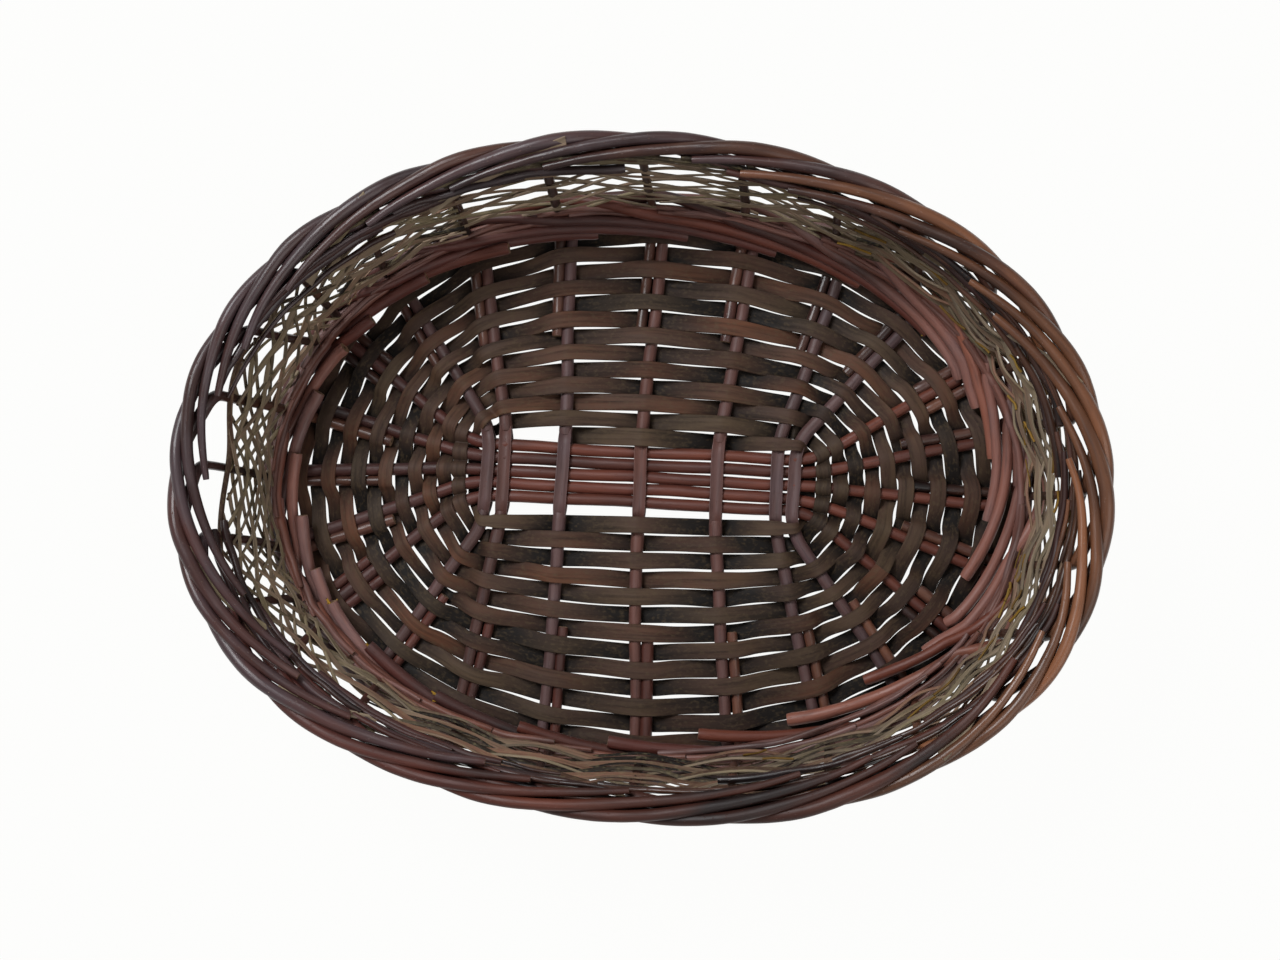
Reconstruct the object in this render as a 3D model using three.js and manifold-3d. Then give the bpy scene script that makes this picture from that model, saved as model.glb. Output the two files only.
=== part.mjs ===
// Oval basket of whole willow rods and split willow strips, in millimetres, +Z up.
// Angles run counter-clockwise seen from above, from the right-hand end of the oval.
import * as THREE from 'three';
import { mergeVertices } from 'three/addons/utils/BufferGeometryUtils.js';
import Module from 'manifold-3d';

const wasm = await Module();
wasm.setup();

// Overall size
const rimLength = 450;
const rimWidth = 330;
const basketHeight = 100;
const footLength = 381;
const footWidth = 280;
const ovalFullness = 0.018;
const baseCrown = 3;

// Rods and strips
const baseStickDiameter = 5.4;
const stakeDiameter = 5.8;
const upsettRodDiameter = 5.5;
const baseStripWidth = 8.2;
const baseStripThickness = 1.1;
const sideStripWidth = 6.6;
const sideStripThickness = 1;

// Room that the pieces leave each other
const clearance = 0.35;
const rowGap = 0.5;
const borderGap = 0.7;

// Open centre of the base
const longStickCount = 5;
const longStickPitch = 6.4;
const longStickShift = 5;
const crossStickShift = -4.7;
const crossStickReach = 78.2;
const crossPairSpacing = 8.4;
const crossStickPitch = 39.5;
const lowerOpening = 7;
const splitBarThickness = 2.5;
const splitTaper = 10;

// Stakes and rods along their length
const turnUp = 8;
const lastRowInset = 10.5;
const buttRow = 6;
const cornerButtRow = 8.5;
const borderBend = 7;
const borderRun = 4;
const borderSwell = 3.8;
const upsettRise = 8;
const upsettInside = 3;
const upsettOutside = 1.3;
const upsettButt = 0.25;
const upsettStep = 0.3;
const stakesPerUpsettRod = 2;

const rodSides = 6;
const fullTurn = 2 * Math.PI;

// Heights
const thickestBaseRod = Math.max(baseStickDiameter, stakeDiameter);
const stripLift = thickestBaseRod / 2 + clearance + baseStripThickness / 2;
const stickLevel = stripLift + baseStripThickness / 2;
const borderLayer = stakeDiameter + borderGap;
const borderTop = basketHeight - stakeDiameter / 2;
const borderLevel = borderTop - borderLayer;

// Border: how far its rods swing out over the stakes and back in
const borderOut = stakeDiameter + 2 * clearance;
const borderPitch = stakeDiameter + borderGap;
const borderReach = borderOut + borderSwell + stakeDiameter / 2;

// Half axes of the ovals: the foot, where stakes turn up, and the stakes' line in the border
const foot = { x: footLength / 2, y: footWidth / 2 };
const rim = { x: rimLength / 2 - borderReach, y: rimWidth / 2 - borderReach };

function ovalPoint(angle, halfX, halfY) {
  const swell = 1 + ovalFullness * Math.sin(2 * angle) ** 2;
  return new THREE.Vector3(halfX * swell * Math.cos(angle), halfY * swell * Math.sin(angle), 0);
}

function ovalNormal(angle, halfX, halfY) {
  const step = 0.001;
  const ahead = ovalPoint(angle + step, halfX, halfY);
  const along = ahead.sub(ovalPoint(angle - step, halfX, halfY)).normalize();
  return new THREE.Vector3(along.y, -along.x, 0);
}

// The wall leans out from the foot to the border
function wallAxes(height) {
  const share = (height - stickLevel) / (borderLevel - stickLevel);
  return {
    x: THREE.MathUtils.lerp(foot.x, rim.x, share),
    y: THREE.MathUtils.lerp(foot.y, rim.y, share),
  };
}

function wallPlace(angle, height, out = 0) {
  const axes = wallAxes(height);
  const place = ovalPoint(angle, axes.x, axes.y);
  place.addScaledVector(ovalNormal(angle, axes.x, axes.y), out);
  place.z = height;
  return place;
}

// The base is a little higher in the middle and flat near the foot
function baseLevel(x, y) {
  const share = Math.hypot(x / foot.x, y / foot.y);
  const fall = THREE.MathUtils.clamp((share - 0.5) / 0.4, 0, 1);
  return stickLevel + baseCrown * (1 + Math.cos(Math.PI * fall)) / 2;
}

// Solids

// A line through given stations: a rod bends at each of them
class StationPath extends THREE.Curve {
  constructor(stations) {
    super();
    this.stations = stations;
  }

  getPoint(share, target = new THREE.Vector3()) {
    const last = this.stations.length - 1;
    const index = Math.min(Math.floor(share * last + 1e-9), last - 1);
    return target.lerpVectors(this.stations[index], this.stations[index + 1], share * last - index);
  }

  getPointAt(share, target) {
    return this.getPoint(share, target);
  }

  getTangentAt(share, target = new THREE.Vector3()) {
    const last = this.stations.length - 1;
    const index = Math.round(share * last);
    target.set(0, 0, 0);
    for (const start of [index - 1, index]) {
      if (start >= 0 && start < last) {
        const leg = this.stations[start + 1].clone().sub(this.stations[start]);
        target.add(leg.normalize());
      }
    }
    return target.normalize();
  }
}

function polygon(radius, sides) {
  const shape = new THREE.Shape();
  for (let corner = 0; corner < sides; corner += 1) {
    const turn = (corner / sides) * fullTurn;
    const point = [radius * Math.cos(turn), radius * Math.sin(turn)];
    if (corner === 0) {
      shape.moveTo(...point);
    } else {
      shape.lineTo(...point);
    }
  }
  return shape;
}

function rodGeometry(stations, diameter) {
  return new THREE.ExtrudeGeometry(polygon(diameter / 2, rodSides), {
    steps: stations.length - 1,
    bevelEnabled: false,
    extrudePath: new StationPath(stations),
  });
}

// A flat strip through sections, each with its centre and its half width and half thickness
function stripGeometry(sections) {
  const corners = [[1, 1], [-1, 1], [-1, -1], [1, -1]];
  const positions = [];
  for (const section of sections) {
    for (const [side, face] of corners) {
      const corner = section.centre.clone();
      corner.addScaledVector(section.across, side).addScaledVector(section.through, face);
      positions.push(corner.x, corner.y, corner.z);
    }
  }
  const index = [0, 1, 2, 0, 2, 3];
  for (let section = 0; section < sections.length - 1; section += 1) {
    for (let corner = 0; corner < 4; corner += 1) {
      const near = section * 4 + corner;
      const beside = section * 4 + (corner + 1) % 4;
      index.push(near, near + 4, beside, beside, near + 4, beside + 4);
    }
  }
  const end = (sections.length - 1) * 4;
  index.push(end, end + 2, end + 1, end, end + 3, end + 2);
  const geometry = new THREE.BufferGeometry();
  geometry.setAttribute('position', new THREE.Float32BufferAttribute(positions, 3));
  geometry.setIndex(index);
  return outward(geometry);
}

// Turns every face about where a strip's sections run the other way
function outward(geometry) {
  const place = geometry.getAttribute('position');
  const index = geometry.getIndex();
  const [a, b, c] = [new THREE.Vector3(), new THREE.Vector3(), new THREE.Vector3()];
  let volume = 0;
  for (let face = 0; face < index.count; face += 3) {
    a.fromBufferAttribute(place, index.getX(face));
    b.fromBufferAttribute(place, index.getX(face + 1));
    c.fromBufferAttribute(place, index.getX(face + 2));
    volume += a.dot(b.cross(c));
  }
  if (volume < 0) {
    for (let face = 0; face < index.count; face += 3) {
      const kept = index.getX(face + 1);
      index.setX(face + 1, index.getX(face + 2));
      index.setX(face + 2, kept);
    }
  }
  return geometry;
}

function toSolid(geometry) {
  const bare = geometry.clone();
  bare.deleteAttribute('normal');
  bare.deleteAttribute('uv');
  const merged = mergeVertices(bare, 1e-4);
  return new wasm.Manifold(new wasm.Mesh({
    numProp: 3,
    vertProperties: new Float32Array(merged.getAttribute('position').array),
    triVerts: new Uint32Array(merged.getIndex().array),
  }));
}

function toGeometry(solid) {
  const mesh = solid.getMesh();
  const geometry = new THREE.BufferGeometry();
  geometry.setAttribute('position', new THREE.BufferAttribute(mesh.vertProperties, 3));
  geometry.setIndex(new THREE.BufferAttribute(mesh.triVerts, 1));
  return geometry;
}

function bezierStations(start, corner, end, steps) {
  const bend = new THREE.QuadraticBezierCurve3(start, corner, end);
  return bend.getPoints(steps);
}

// Base sticks: the ends of the long and the cross sticks are the base's spokes

const halfLongCount = (longStickCount - 1) / 2;
const bundleHalf = halfLongCount * longStickPitch + baseStickDiameter / 2;
const loopTop = longStickShift + bundleHalf + rowGap + baseStripWidth / 2;
const loopBottom = longStickShift - bundleHalf - lowerOpening - baseStripWidth / 2;
const loopHalfLength = crossStickReach + baseStickDiameter / 2 + rowGap + baseStripWidth / 2;

const crossPlaces = [
  -crossStickReach,
  -crossStickReach + crossPairSpacing,
  -crossStickPitch,
  0,
  crossStickPitch,
  crossStickReach - crossPairSpacing,
  crossStickReach,
].map((place) => place + crossStickShift);

const longPlaces = Array.from(
  { length: longStickCount },
  (_, stick) => longStickShift + (stick - halfLongCount) * longStickPitch,
);

const crossCount = crossPlaces.length;
const spokeCount = 2 * (longStickCount + crossCount);
const spokeStep = fullTurn / spokeCount;

// Every spoke starts on the innermost row and ends by the foot; turn tells its side of the oval
function listSpokes() {
  const right = longPlaces.map((y) => ({ x: crossStickShift + loopHalfLength, y }));
  const top = crossPlaces.map((x) => ({ x, y: loopTop })).reverse();
  const left = longPlaces.map((y) => ({ x: crossStickShift - loopHalfLength, y })).reverse();
  const bottom = crossPlaces.map((x) => ({ x, y: loopBottom }));
  const sides = [right, top, left, bottom];
  const list = [];
  sides.forEach((side, turn) => {
    side.forEach((start, order) => {
      const isLong = turn % 2 === 0;
      const isEnd = order === 0 || order === side.length - 1;
      const angle = (list.length - halfLongCount) * spokeStep;
      const end = ovalPoint(angle, foot.x - lastRowInset, foot.y - lastRowInset);
      list.push({ isLong, isEnd, turn, order, start: new THREE.Vector3(start.x, start.y, 0), end });
    });
  });
  return list.slice(halfLongCount).concat(list.slice(0, halfLongCount));
}

const spokes = listSpokes();
const sideRoom = foot.y - lastRowInset - (loopTop - loopBottom) / 2;
const rowSpans = 2 * Math.floor(sideRoom / (baseStripWidth + rowGap) / 2);

function spokeAt(index) {
  return spokes[((index % spokeCount) + spokeCount) % spokeCount];
}

// Where a row of weaving crosses a spoke, rows counted outwards from the innermost
function rowPoint(index, row) {
  const spoke = spokeAt(index);
  return new THREE.Vector3().lerpVectors(spoke.start, spoke.end, row / rowSpans);
}

function spokeStations(spoke, rows) {
  return rows.map((row) => {
    const point = new THREE.Vector3().lerpVectors(spoke.start, spoke.end, row / rowSpans);
    point.z = baseLevel(point.x, point.y);
    return point;
  });
}

const spokeTipRow = rowSpans + 0.45;
const spokeRows = [0, 0.25, 0.5, 0.75].map((share) => share * rowSpans).concat(spokeTipRow);

function stickStations(firstSpoke, middles, lastSpoke) {
  const inner = middles.map(([x, y]) => new THREE.Vector3(x, y, baseLevel(x, y)));
  return [
    ...spokeStations(firstSpoke, spokeRows).reverse(),
    ...inner,
    ...spokeStations(lastSpoke, spokeRows),
  ];
}

function findSpoke(turn, order) {
  return spokes.find((spoke) => spoke.turn === turn && spoke.order === order);
}

function longStickGeometry(stick) {
  const left = findSpoke(2, longStickCount - 1 - stick);
  const right = findSpoke(0, stick);
  const middles = [[crossStickShift, longPlaces[stick]]];
  return rodGeometry(stickStations(left, middles, right), baseStickDiameter);
}

// A cross stick is split at its middle, and the long sticks pass through the split
const splitHalf = bundleHalf + clearance;
const slotHeight = baseStickDiameter / 2 + clearance;
const splitHeight = slotHeight + splitBarThickness;

function extrudedAcross(outline, width, x) {
  const shape = new THREE.Shape(outline.map(([y, z]) => new THREE.Vector2(y, z)));
  const geometry = new THREE.ExtrudeGeometry(shape, { depth: width, bevelEnabled: false });
  const standing = new THREE.Matrix4().makeBasis(
    new THREE.Vector3(0, 1, 0),
    new THREE.Vector3(0, 0, 1),
    new THREE.Vector3(1, 0, 0),
  );
  geometry.applyMatrix4(standing);
  geometry.translate(x - width / 2, longStickShift, baseLevel(x, longStickShift));
  return geometry;
}

function crossStickGeometry(stick) {
  const x = crossPlaces[stick];
  const lower = findSpoke(3, stick);
  const upper = findSpoke(1, crossCount - 1 - stick);
  const inside = [[x, longStickShift]];
  const rod = toSolid(rodGeometry(stickStations(lower, inside, upper), baseStickDiameter));
  const shoulder = 0.42 * baseStickDiameter;
  const end = splitHalf + splitTaper;
  const bars = [
    [-end, -shoulder],
    [-splitHalf, -splitHeight],
    [splitHalf, -splitHeight],
    [end, -shoulder],
    [end, shoulder],
    [splitHalf, splitHeight],
    [-splitHalf, splitHeight],
    [-end, shoulder],
  ];
  const slotEnd = splitHalf + splitTaper / 3;
  const slot = [
    [-slotEnd, 0],
    [-splitHalf, -slotHeight],
    [splitHalf, -slotHeight],
    [slotEnd, 0],
    [splitHalf, slotHeight],
    [-splitHalf, slotHeight],
  ];
  const barWidth = 0.86 * baseStickDiameter;
  const swollen = rod.add(toSolid(extrudedAcross(bars, barWidth, x)));
  return toGeometry(swollen.subtract(toSolid(extrudedAcross(slot, 2 * baseStickDiameter, x))));
}

// Side stakes: one beside each spoke, and a second one at the corners of the oval

const buttOffset = baseStickDiameter / 2 + clearance + stakeDiameter / 2;

function alongSpoke(index) {
  return spokeAt(index).end.clone().sub(spokeAt(index).start).normalize();
}

function acrossSpoke(index) {
  const along = alongSpoke(index);
  return new THREE.Vector3(-along.y, along.x, 0);
}

// The angle at which a straight line from inside the foot's oval meets it
function footCrossing(start, direction) {
  let [near, far] = [0, foot.x];
  let angle = 0;
  for (let halving = 0; halving < 30; halving += 1) {
    const reach = (near + far) / 2;
    const point = start.clone().addScaledVector(direction, reach);
    angle = Math.atan2(point.y / foot.y, point.x / foot.x);
    if (point.length() > ovalPoint(angle, foot.x, foot.y).length()) {
      far = reach;
    } else {
      near = reach;
    }
  }
  return angle;
}

function isCorner(index) {
  return spokeAt(index).isLong && spokeAt(index).isEnd;
}

function listStakes() {
  const list = [];
  for (let spoke = 0; spoke < spokeCount; spoke += 1) {
    if (isCorner(spoke)) {
      list.push({ spoke, side: -1, butt: cornerButtRow });
    }
    list.push({ spoke, side: 1, butt: isCorner(spoke) ? cornerButtRow : buttRow });
  }
  for (const stake of list) {
    const shift = acrossSpoke(stake.spoke).multiplyScalar(stake.side * buttOffset);
    stake.start = rowPoint(stake.spoke, stake.butt).add(shift);
    const turn = footCrossing(stake.start, alongSpoke(stake.spoke));
    const near = stake.spoke * spokeStep;
    stake.footAngle = near + Math.atan2(Math.sin(turn - near), Math.cos(turn - near));
  }
  return list;
}

const stakes = listStakes();
const stakeCount = stakes.length;
const stakeStep = fullTurn / stakeCount;
const rimStart = stakes.reduce((sum, stake, order) => (
  sum + (stake.footAngle - order * stakeStep) / stakeCount
), 0);

function rimAngle(place) {
  return rimStart + place * stakeStep;
}

// The stakes stand evenly in the border and a little less evenly at the foot
function stakeAngle(order, height) {
  const round = Math.floor(order / stakeCount);
  const stake = stakes[order - round * stakeCount];
  const share = (height - stickLevel) / (borderLevel - stickLevel);
  return THREE.MathUtils.lerp(stake.footAngle + round * fullTurn, rimAngle(order), share);
}

function wallAngle(place, height) {
  const order = Math.floor(place);
  const from = stakeAngle(order, height);
  return THREE.MathUtils.lerp(from, stakeAngle(order + 1, height), place - order);
}

// A border rod runs out past its neighbour, climbs over it and comes back in on top
function borderPlace(stake, run) {
  const climb = THREE.MathUtils.clamp(run - 1, 0, 1);
  const early = 0.25 * borderOut;
  let out = THREE.MathUtils.mapLinear(run, 0.5, 1, early, borderOut);
  if (run < 0.5) {
    out = early * run / 0.5;
  } else if (run > 1 && run < 2) {
    out = borderOut + borderSwell * (1 - Math.abs(2 * run - 3));
  } else if (run >= 2) {
    out = borderOut - borderPitch * (run - 2);
  }
  const angle = rimAngle(stake + run);
  const place = ovalPoint(angle, rim.x, rim.y);
  place.addScaledVector(ovalNormal(angle, rim.x, rim.y), out);
  place.z = borderLevel + borderLayer * climb;
  return place;
}

function stakeStations(order) {
  const stake = stakes[order];
  const corner = wallPlace(stake.footAngle, stickLevel);
  const back = stake.start.clone().sub(corner).setZ(0).normalize();
  const turnStart = corner.clone().addScaledVector(back, turnUp);
  const stations = [0, 1 / 3, 2 / 3].map((share) => {
    const point = stake.start.clone().lerp(turnStart, share);
    point.z = baseLevel(point.x, point.y);
    return point;
  });
  const wallStart = wallPlace(stakeAngle(order, stickLevel + turnUp), stickLevel + turnUp);
  stations.push(...bezierStations(turnStart, corner, wallStart, 3));
  const bendLevel = borderLevel - borderBend;
  for (const share of [1 / 3, 2 / 3]) {
    const height = THREE.MathUtils.lerp(wallStart.z, bendLevel, share);
    stations.push(wallPlace(stakeAngle(order, height), height));
  }
  const bendStart = wallPlace(stakeAngle(order, bendLevel), bendLevel);
  const bendCorner = wallPlace(rimAngle(order), borderLevel);
  stations.push(...bezierStations(bendStart, bendCorner, borderPlace(order, 0.3), 3));
  for (let run = 0.5; run <= borderRun; run += 0.5) {
    stations.push(borderPlace(order, run));
  }
  return stations;
}

// Base strips: two weavers chase each other round, over one spoke and under the next, and step
// out by two rows where each turn meets the last

const joinSpoke = 7;
const cornerFold = 3.6;
const stepStart = spokeCount - 4;
const leadIn = 2;

function rowAt(weaver, place) {
  const turn = Math.floor(place / spokeCount);
  const within = place - turn * spokeCount;
  const share = THREE.MathUtils.clamp((within - stepStart) / (spokeCount - stepStart), 0, 1);
  return 2 * turn + weaver + 2 * share * share * (3 - 2 * share);
}

function spokeFor(place) {
  return joinSpoke - place;
}

// In the first turn a bundle of long sticks counts as one, and so does an outer pair of cross
// sticks; after that every spoke counts by itself
function isOver(weaver, place) {
  const index = spokeFor(place);
  const spoke = spokeAt(index);
  const even = Math.abs(index) % 2 === 0;
  let first = even;
  if (place < spokeCount) {
    const isPair = !spoke.isLong && Math.min(spoke.order, crossCount - 1 - spoke.order) < 2;
    first = spoke.isLong ? false : even || isPair;
  }
  return weaver === 0 ? first : !first;
}

// Half the height of what a strip lies over at a spoke: the split part of a cross stick is tall
function halfHeightAt(spoke, row) {
  const { start, isLong } = spokeAt(spoke);
  const innerEdge = rowPoint(spoke, row).sub(start).length() - baseStripWidth / 2;
  const reach = Math.abs(start.y - longStickShift) + innerEdge - splitHalf;
  if (isLong || reach > splitTaper) {
    return thickestBaseRod / 2;
  }
  const share = THREE.MathUtils.clamp(reach / splitTaper, 0, 1);
  const tall = THREE.MathUtils.lerp(splitHeight, baseStickDiameter / 2, share);
  return Math.max(tall, thickestBaseRod / 2);
}

// How far a strip lies flat to either side of a spoke, which is further over a stake's butt
function flatReach(spoke, row, side) {
  const covered = stakes.some((stake) => (
    stake.spoke === spoke && stake.side === side && row > stake.butt - 0.75
  ));
  if (covered) {
    return buttOffset + 0.4 * stakeDiameter;
  }
  return row < 0.5 ? baseStickDiameter / 2 + clearance : 0.4 * baseStickDiameter;
}

function baseStripSection(middle, out, width, height) {
  const edges = [1, -1].map((edge) => {
    const point = middle.clone().addScaledVector(out, edge * width / 2);
    point.z = baseLevel(point.x, point.y) + height;
    return point;
  });
  return {
    centre: edges[0].clone().add(edges[1]).multiplyScalar(0.5),
    across: edges[0].clone().sub(edges[1]).multiplyScalar(0.5),
    through: new THREE.Vector3(0, 0, baseStripThickness / 2),
  };
}

// Weaving runs clockwise; the innermost row lies square to the sticks
function weavingDirection(weaver, place) {
  const index = spokeFor(place);
  if (rowAt(weaver, place) < 0.5) {
    const square = spokeAt(index).turn * fullTurn / 4;
    return new THREE.Vector3(Math.sin(square), -Math.cos(square), 0);
  }
  const before = rowPoint(index + 1, rowAt(weaver, place - 1));
  return rowPoint(index - 1, rowAt(weaver, place + 1)).sub(before).normalize();
}

function baseStripSections(weaver, from, to) {
  const sections = [];
  for (let place = from; place <= to; place += 1) {
    const index = spokeFor(place);
    const spoke = ((index % spokeCount) + spokeCount) % spokeCount;
    const row = rowAt(weaver, place);
    const along = weavingDirection(weaver, place);
    const out = new THREE.Vector3(-along.y, along.x, 0);
    const rowStep = rowPoint(index, row + 0.5).sub(rowPoint(index, row - 0.5)).dot(out);
    const width = Math.min(baseStripWidth, rowStep - rowGap);
    const lift = halfHeightAt(spoke, row) + clearance + baseStripThickness / 2;
    const height = isOver(weaver, place) ? lift : -lift;
    for (const side of [1, -1]) {
      const middle = rowPoint(index, row).addScaledVector(along, -side * flatReach(spoke, row, side));
      sections.push(baseStripSection(middle, out, width, height));
    }
    if (row < 0.5 && place < to && spokeAt(index - 1).turn !== spokeAt(index).turn) {
      const next = weavingDirection(weaver, place + 1);
      const turned = along.add(next).normalize();
      const outwards = new THREE.Vector3(-turned.y, turned.x, 0);
      const middle = rowPoint(index, row).add(rowPoint(index - 1, row)).multiplyScalar(0.5);
      middle.addScaledVector(outwards, cornerFold / 2);
      sections.push(baseStripSection(middle, outwards, cornerFold, 0));
    }
  }
  return sections;
}

// Where each weaver starts and ends; each is joined from two lengths
const lastTurn = spokeCount * rowSpans / 2;
const weaverPlaces = [
  [0, lastTurn + stepStart],
  [-leadIn, lastTurn - spokeCount + stepStart + leadIn],
];

// Side strips: two weavers climb the wall half a turn apart, in and out of the stakes

const upsettLevel = stickLevel + upsettRise;
const upsettPitch = (upsettRodDiameter + 2 * clearance) / stakesPerUpsettRod;
const upsettTop = upsettLevel + upsettPitch * (upsettInside + 0.5) + upsettRodDiameter / 2;
const sideLow = upsettTop + rowGap + sideStripWidth / 2;
const sideHigh = borderLevel - borderBend + 2 * rowGap - sideStripWidth / 2;
const sideSpans = Math.floor((sideHigh - sideLow) / (sideStripWidth + rowGap));
const sidePitch = (sideHigh - sideLow) / sideSpans;

function sideStripSections(weaver) {
  const halfTurn = stakeCount / 2;
  const sections = [];
  for (let place = 0; place <= sideSpans * halfTurn; place += 1) {
    const order = place + weaver * halfTurn;
    const height = sideLow + sidePitch * place / halfTurn;
    const angle = stakeAngle(order, height);
    const up = wallPlace(angle, height + 1).sub(wallPlace(angle, height - 1)).normalize();
    const axes = wallAxes(height);
    const normal = ovalNormal(angle, axes.x, axes.y);
    const through = normal.clone().addScaledVector(up, -normal.dot(up)).normalize();
    const half = stakeDiameter / 2 + clearance + sideStripThickness / 2;
    const out = ((order + weaver) % 2 === 0 ? -half : half) / through.dot(normal);
    sections.push({
      centre: wallPlace(angle, height, out),
      across: up.multiplyScalar(sideStripWidth / 2),
      through: through.multiplyScalar(sideStripThickness / 2),
    });
  }
  return sections;
}

// Upsett rods: each starts with its butt inside, passes inside some stakes, climbing over the
// rods that started before it, then goes out between two stakes and ends outside

function upsettStations(rod) {
  const lean = Math.cos(Math.atan2(rim.x - foot.x, borderLevel - stickLevel));
  const beside = (stakeDiameter / 2 + upsettRodDiameter / 2 + clearance) / lean;
  const crossing = upsettInside + 0.5;
  const runs = [-upsettButt, crossing - upsettStep, crossing + upsettStep];
  for (let run = 0; run <= upsettInside + 1 + upsettOutside; run += 0.5) {
    runs.push(run);
  }
  runs.sort((one, other) => one - other);
  return runs.map((run) => {
    const climb = Math.min(run, crossing) - Math.max(0, run - crossing);
    const height = upsettLevel + upsettPitch * climb;
    const out = beside * THREE.MathUtils.clamp((run - crossing) / upsettStep, -1, 1);
    return wallPlace(wallAngle(rod * stakesPerUpsettRod + run, height), height, out);
  });
}

// Finishes

const reddishBark = new THREE.MeshStandardMaterial({
  color: 0x6b3a30,
  roughness: 0.55,
  metalness: 0,
});
const darkBark = new THREE.MeshStandardMaterial({
  color: 0x553229,
  roughness: 0.5,
  metalness: 0,
});
const darkStrip = new THREE.MeshStandardMaterial({
  color: 0x4a3a2e,
  roughness: 0.7,
  metalness: 0,
});
const oliveStrip = new THREE.MeshStandardMaterial({
  color: 0x5c5038,
  roughness: 0.7,
  metalness: 0,
});

// Assembly

const basket = new THREE.Group();

function addPiece(name, geometry, material) {
  const mesh = new THREE.Mesh(geometry, material);
  mesh.name = name;
  basket.add(mesh);
}

function numbered(count) {
  return String(count).padStart(2, '0');
}

for (let stick = 0; stick < longStickCount; stick += 1) {
  addPiece(`base_long_stick_${stick + 1}`, longStickGeometry(stick), reddishBark);
}

for (let stick = 0; stick < crossCount; stick += 1) {
  addPiece(`base_cross_stick_${stick + 1}`, crossStickGeometry(stick), reddishBark);
}

weaverPlaces.forEach(([from, to], weaver) => {
  const letter = 'ab'[weaver];
  const join = Math.round((from + to) / 2);
  const first = stripGeometry(baseStripSections(weaver, from, join));
  const second = stripGeometry(baseStripSections(weaver, join + 1, to));
  addPiece(`base_strip_${letter}1`, first, darkStrip);
  addPiece(`base_strip_${letter}2`, second, darkStrip);
});

for (let stake = 0; stake < stakeCount; stake += 1) {
  const geometry = rodGeometry(stakeStations(stake), stakeDiameter);
  addPiece(`side_stake_${numbered(stake + 1)}`, geometry, darkBark);
}

for (let rod = 0; rod < stakeCount / stakesPerUpsettRod; rod += 1) {
  const geometry = rodGeometry(upsettStations(rod), upsettRodDiameter);
  addPiece(`upsett_rod_${numbered(rod + 1)}`, geometry, reddishBark);
}

for (const weaver of [0, 1]) {
  addPiece(`side_strip_${'ab'[weaver]}`, stripGeometry(sideStripSections(weaver)), oliveStrip);
}

export default basket;
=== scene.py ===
"""Oval willow basket: whole rods, split strips, an open centre, a chased side and a rod border.

Sizes are in millimetres until the pieces are made. Angles run counter-clockwise seen from
above, from the right-hand end of the oval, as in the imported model.
"""

import math
import random

import bpy
import numpy as np
from mathutils import Matrix, Vector


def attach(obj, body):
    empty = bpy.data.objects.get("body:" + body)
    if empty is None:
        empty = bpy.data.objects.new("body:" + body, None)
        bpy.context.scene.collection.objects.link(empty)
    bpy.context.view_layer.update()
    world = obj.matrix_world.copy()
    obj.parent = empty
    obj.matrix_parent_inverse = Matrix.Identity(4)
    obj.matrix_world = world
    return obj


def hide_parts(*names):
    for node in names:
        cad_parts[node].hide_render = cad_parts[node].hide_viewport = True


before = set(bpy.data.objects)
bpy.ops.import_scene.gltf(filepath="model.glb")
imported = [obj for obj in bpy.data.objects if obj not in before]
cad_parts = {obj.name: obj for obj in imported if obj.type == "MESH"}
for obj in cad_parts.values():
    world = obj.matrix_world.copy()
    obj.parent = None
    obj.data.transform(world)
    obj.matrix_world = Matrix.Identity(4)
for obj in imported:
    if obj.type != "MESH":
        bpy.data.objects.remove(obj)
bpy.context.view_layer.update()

MM = 0.001
FULL_TURN = 2 * math.pi
# How far apart the points of a line lie
WALK = 1.8

# Overall size
RIM_LENGTH = 450
RIM_WIDTH = 330
BASKET_HEIGHT = 100
FOOT_LENGTH = 381
FOOT_WIDTH = 280
OVAL_FULLNESS = 0.018
BASE_CROWN = 3

# Where the wall is uneven: how much, and a middle and a reach in degrees
RIM_UNEVENNESS = 0.012
RIM_BULGE = 2.2
RIM_BULGE_AT = (294, 20)
RIM_DENT = 2
RIM_DENT_AT = (350, 10)
END_BOW = 4.5
LOW_BELLY = 7
LOW_BELLY_AT = (268, 38)

# The middles of some stretches of the side, in degrees: where it has come away from the border,
# where it is an open lattice, and where it hangs in the shade
CRESCENT = 181
LATTICE_LEFT = 183
LATTICE_TOP = 88
SHADED = 268

# Rods and strips
BASE_STICK = 5.4
CROSS_STICK = 6.5
STAKE = 5.8
WALL_STAKE = 4.7
UPSETT_ROD = 5.5
BASE_STRIP_WIDTH = 8.2
BASE_STRIP_THICKNESS = 1.1
SIDE_STRIP_WIDTH = 6.6
SIDE_STRIP_THICKNESS = 1.0
CLEARANCE = 0.35
ROW_GAP = 0.5
BORDER_GAP = 0.7

# Open centre of the base
LONG_STICKS = 5
LONG_PITCH = 6.4
LONG_SHIFT = 5
CROSS_SHIFT = -4.7
CROSS_REACH = 78.2
CROSS_PAIR = 8.4
CROSS_PITCH = 39.5
LOWER_OPENING = 7
LOWER_CLOSING = 4.4
SPLIT_BAR = 2.5
SPLIT_TAPER = 10

# Stakes and rods along their length
TURN_UP = 8
LAST_ROW_INSET = 10.5
BUTT_ROW = 6
CORNER_BUTT_ROW = 8.5
BORDER_BEND = 7
BORDER_RUN = 4.6
BORDER_ROOM = 2.3
BORDER_SWELL = 1.5
BORDER_DROP = 1.2
CORNER_FOLD = 3.6
# A step along a ring, as a share of the way from one stake to the next
RUN_STEP = 0.25

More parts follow.
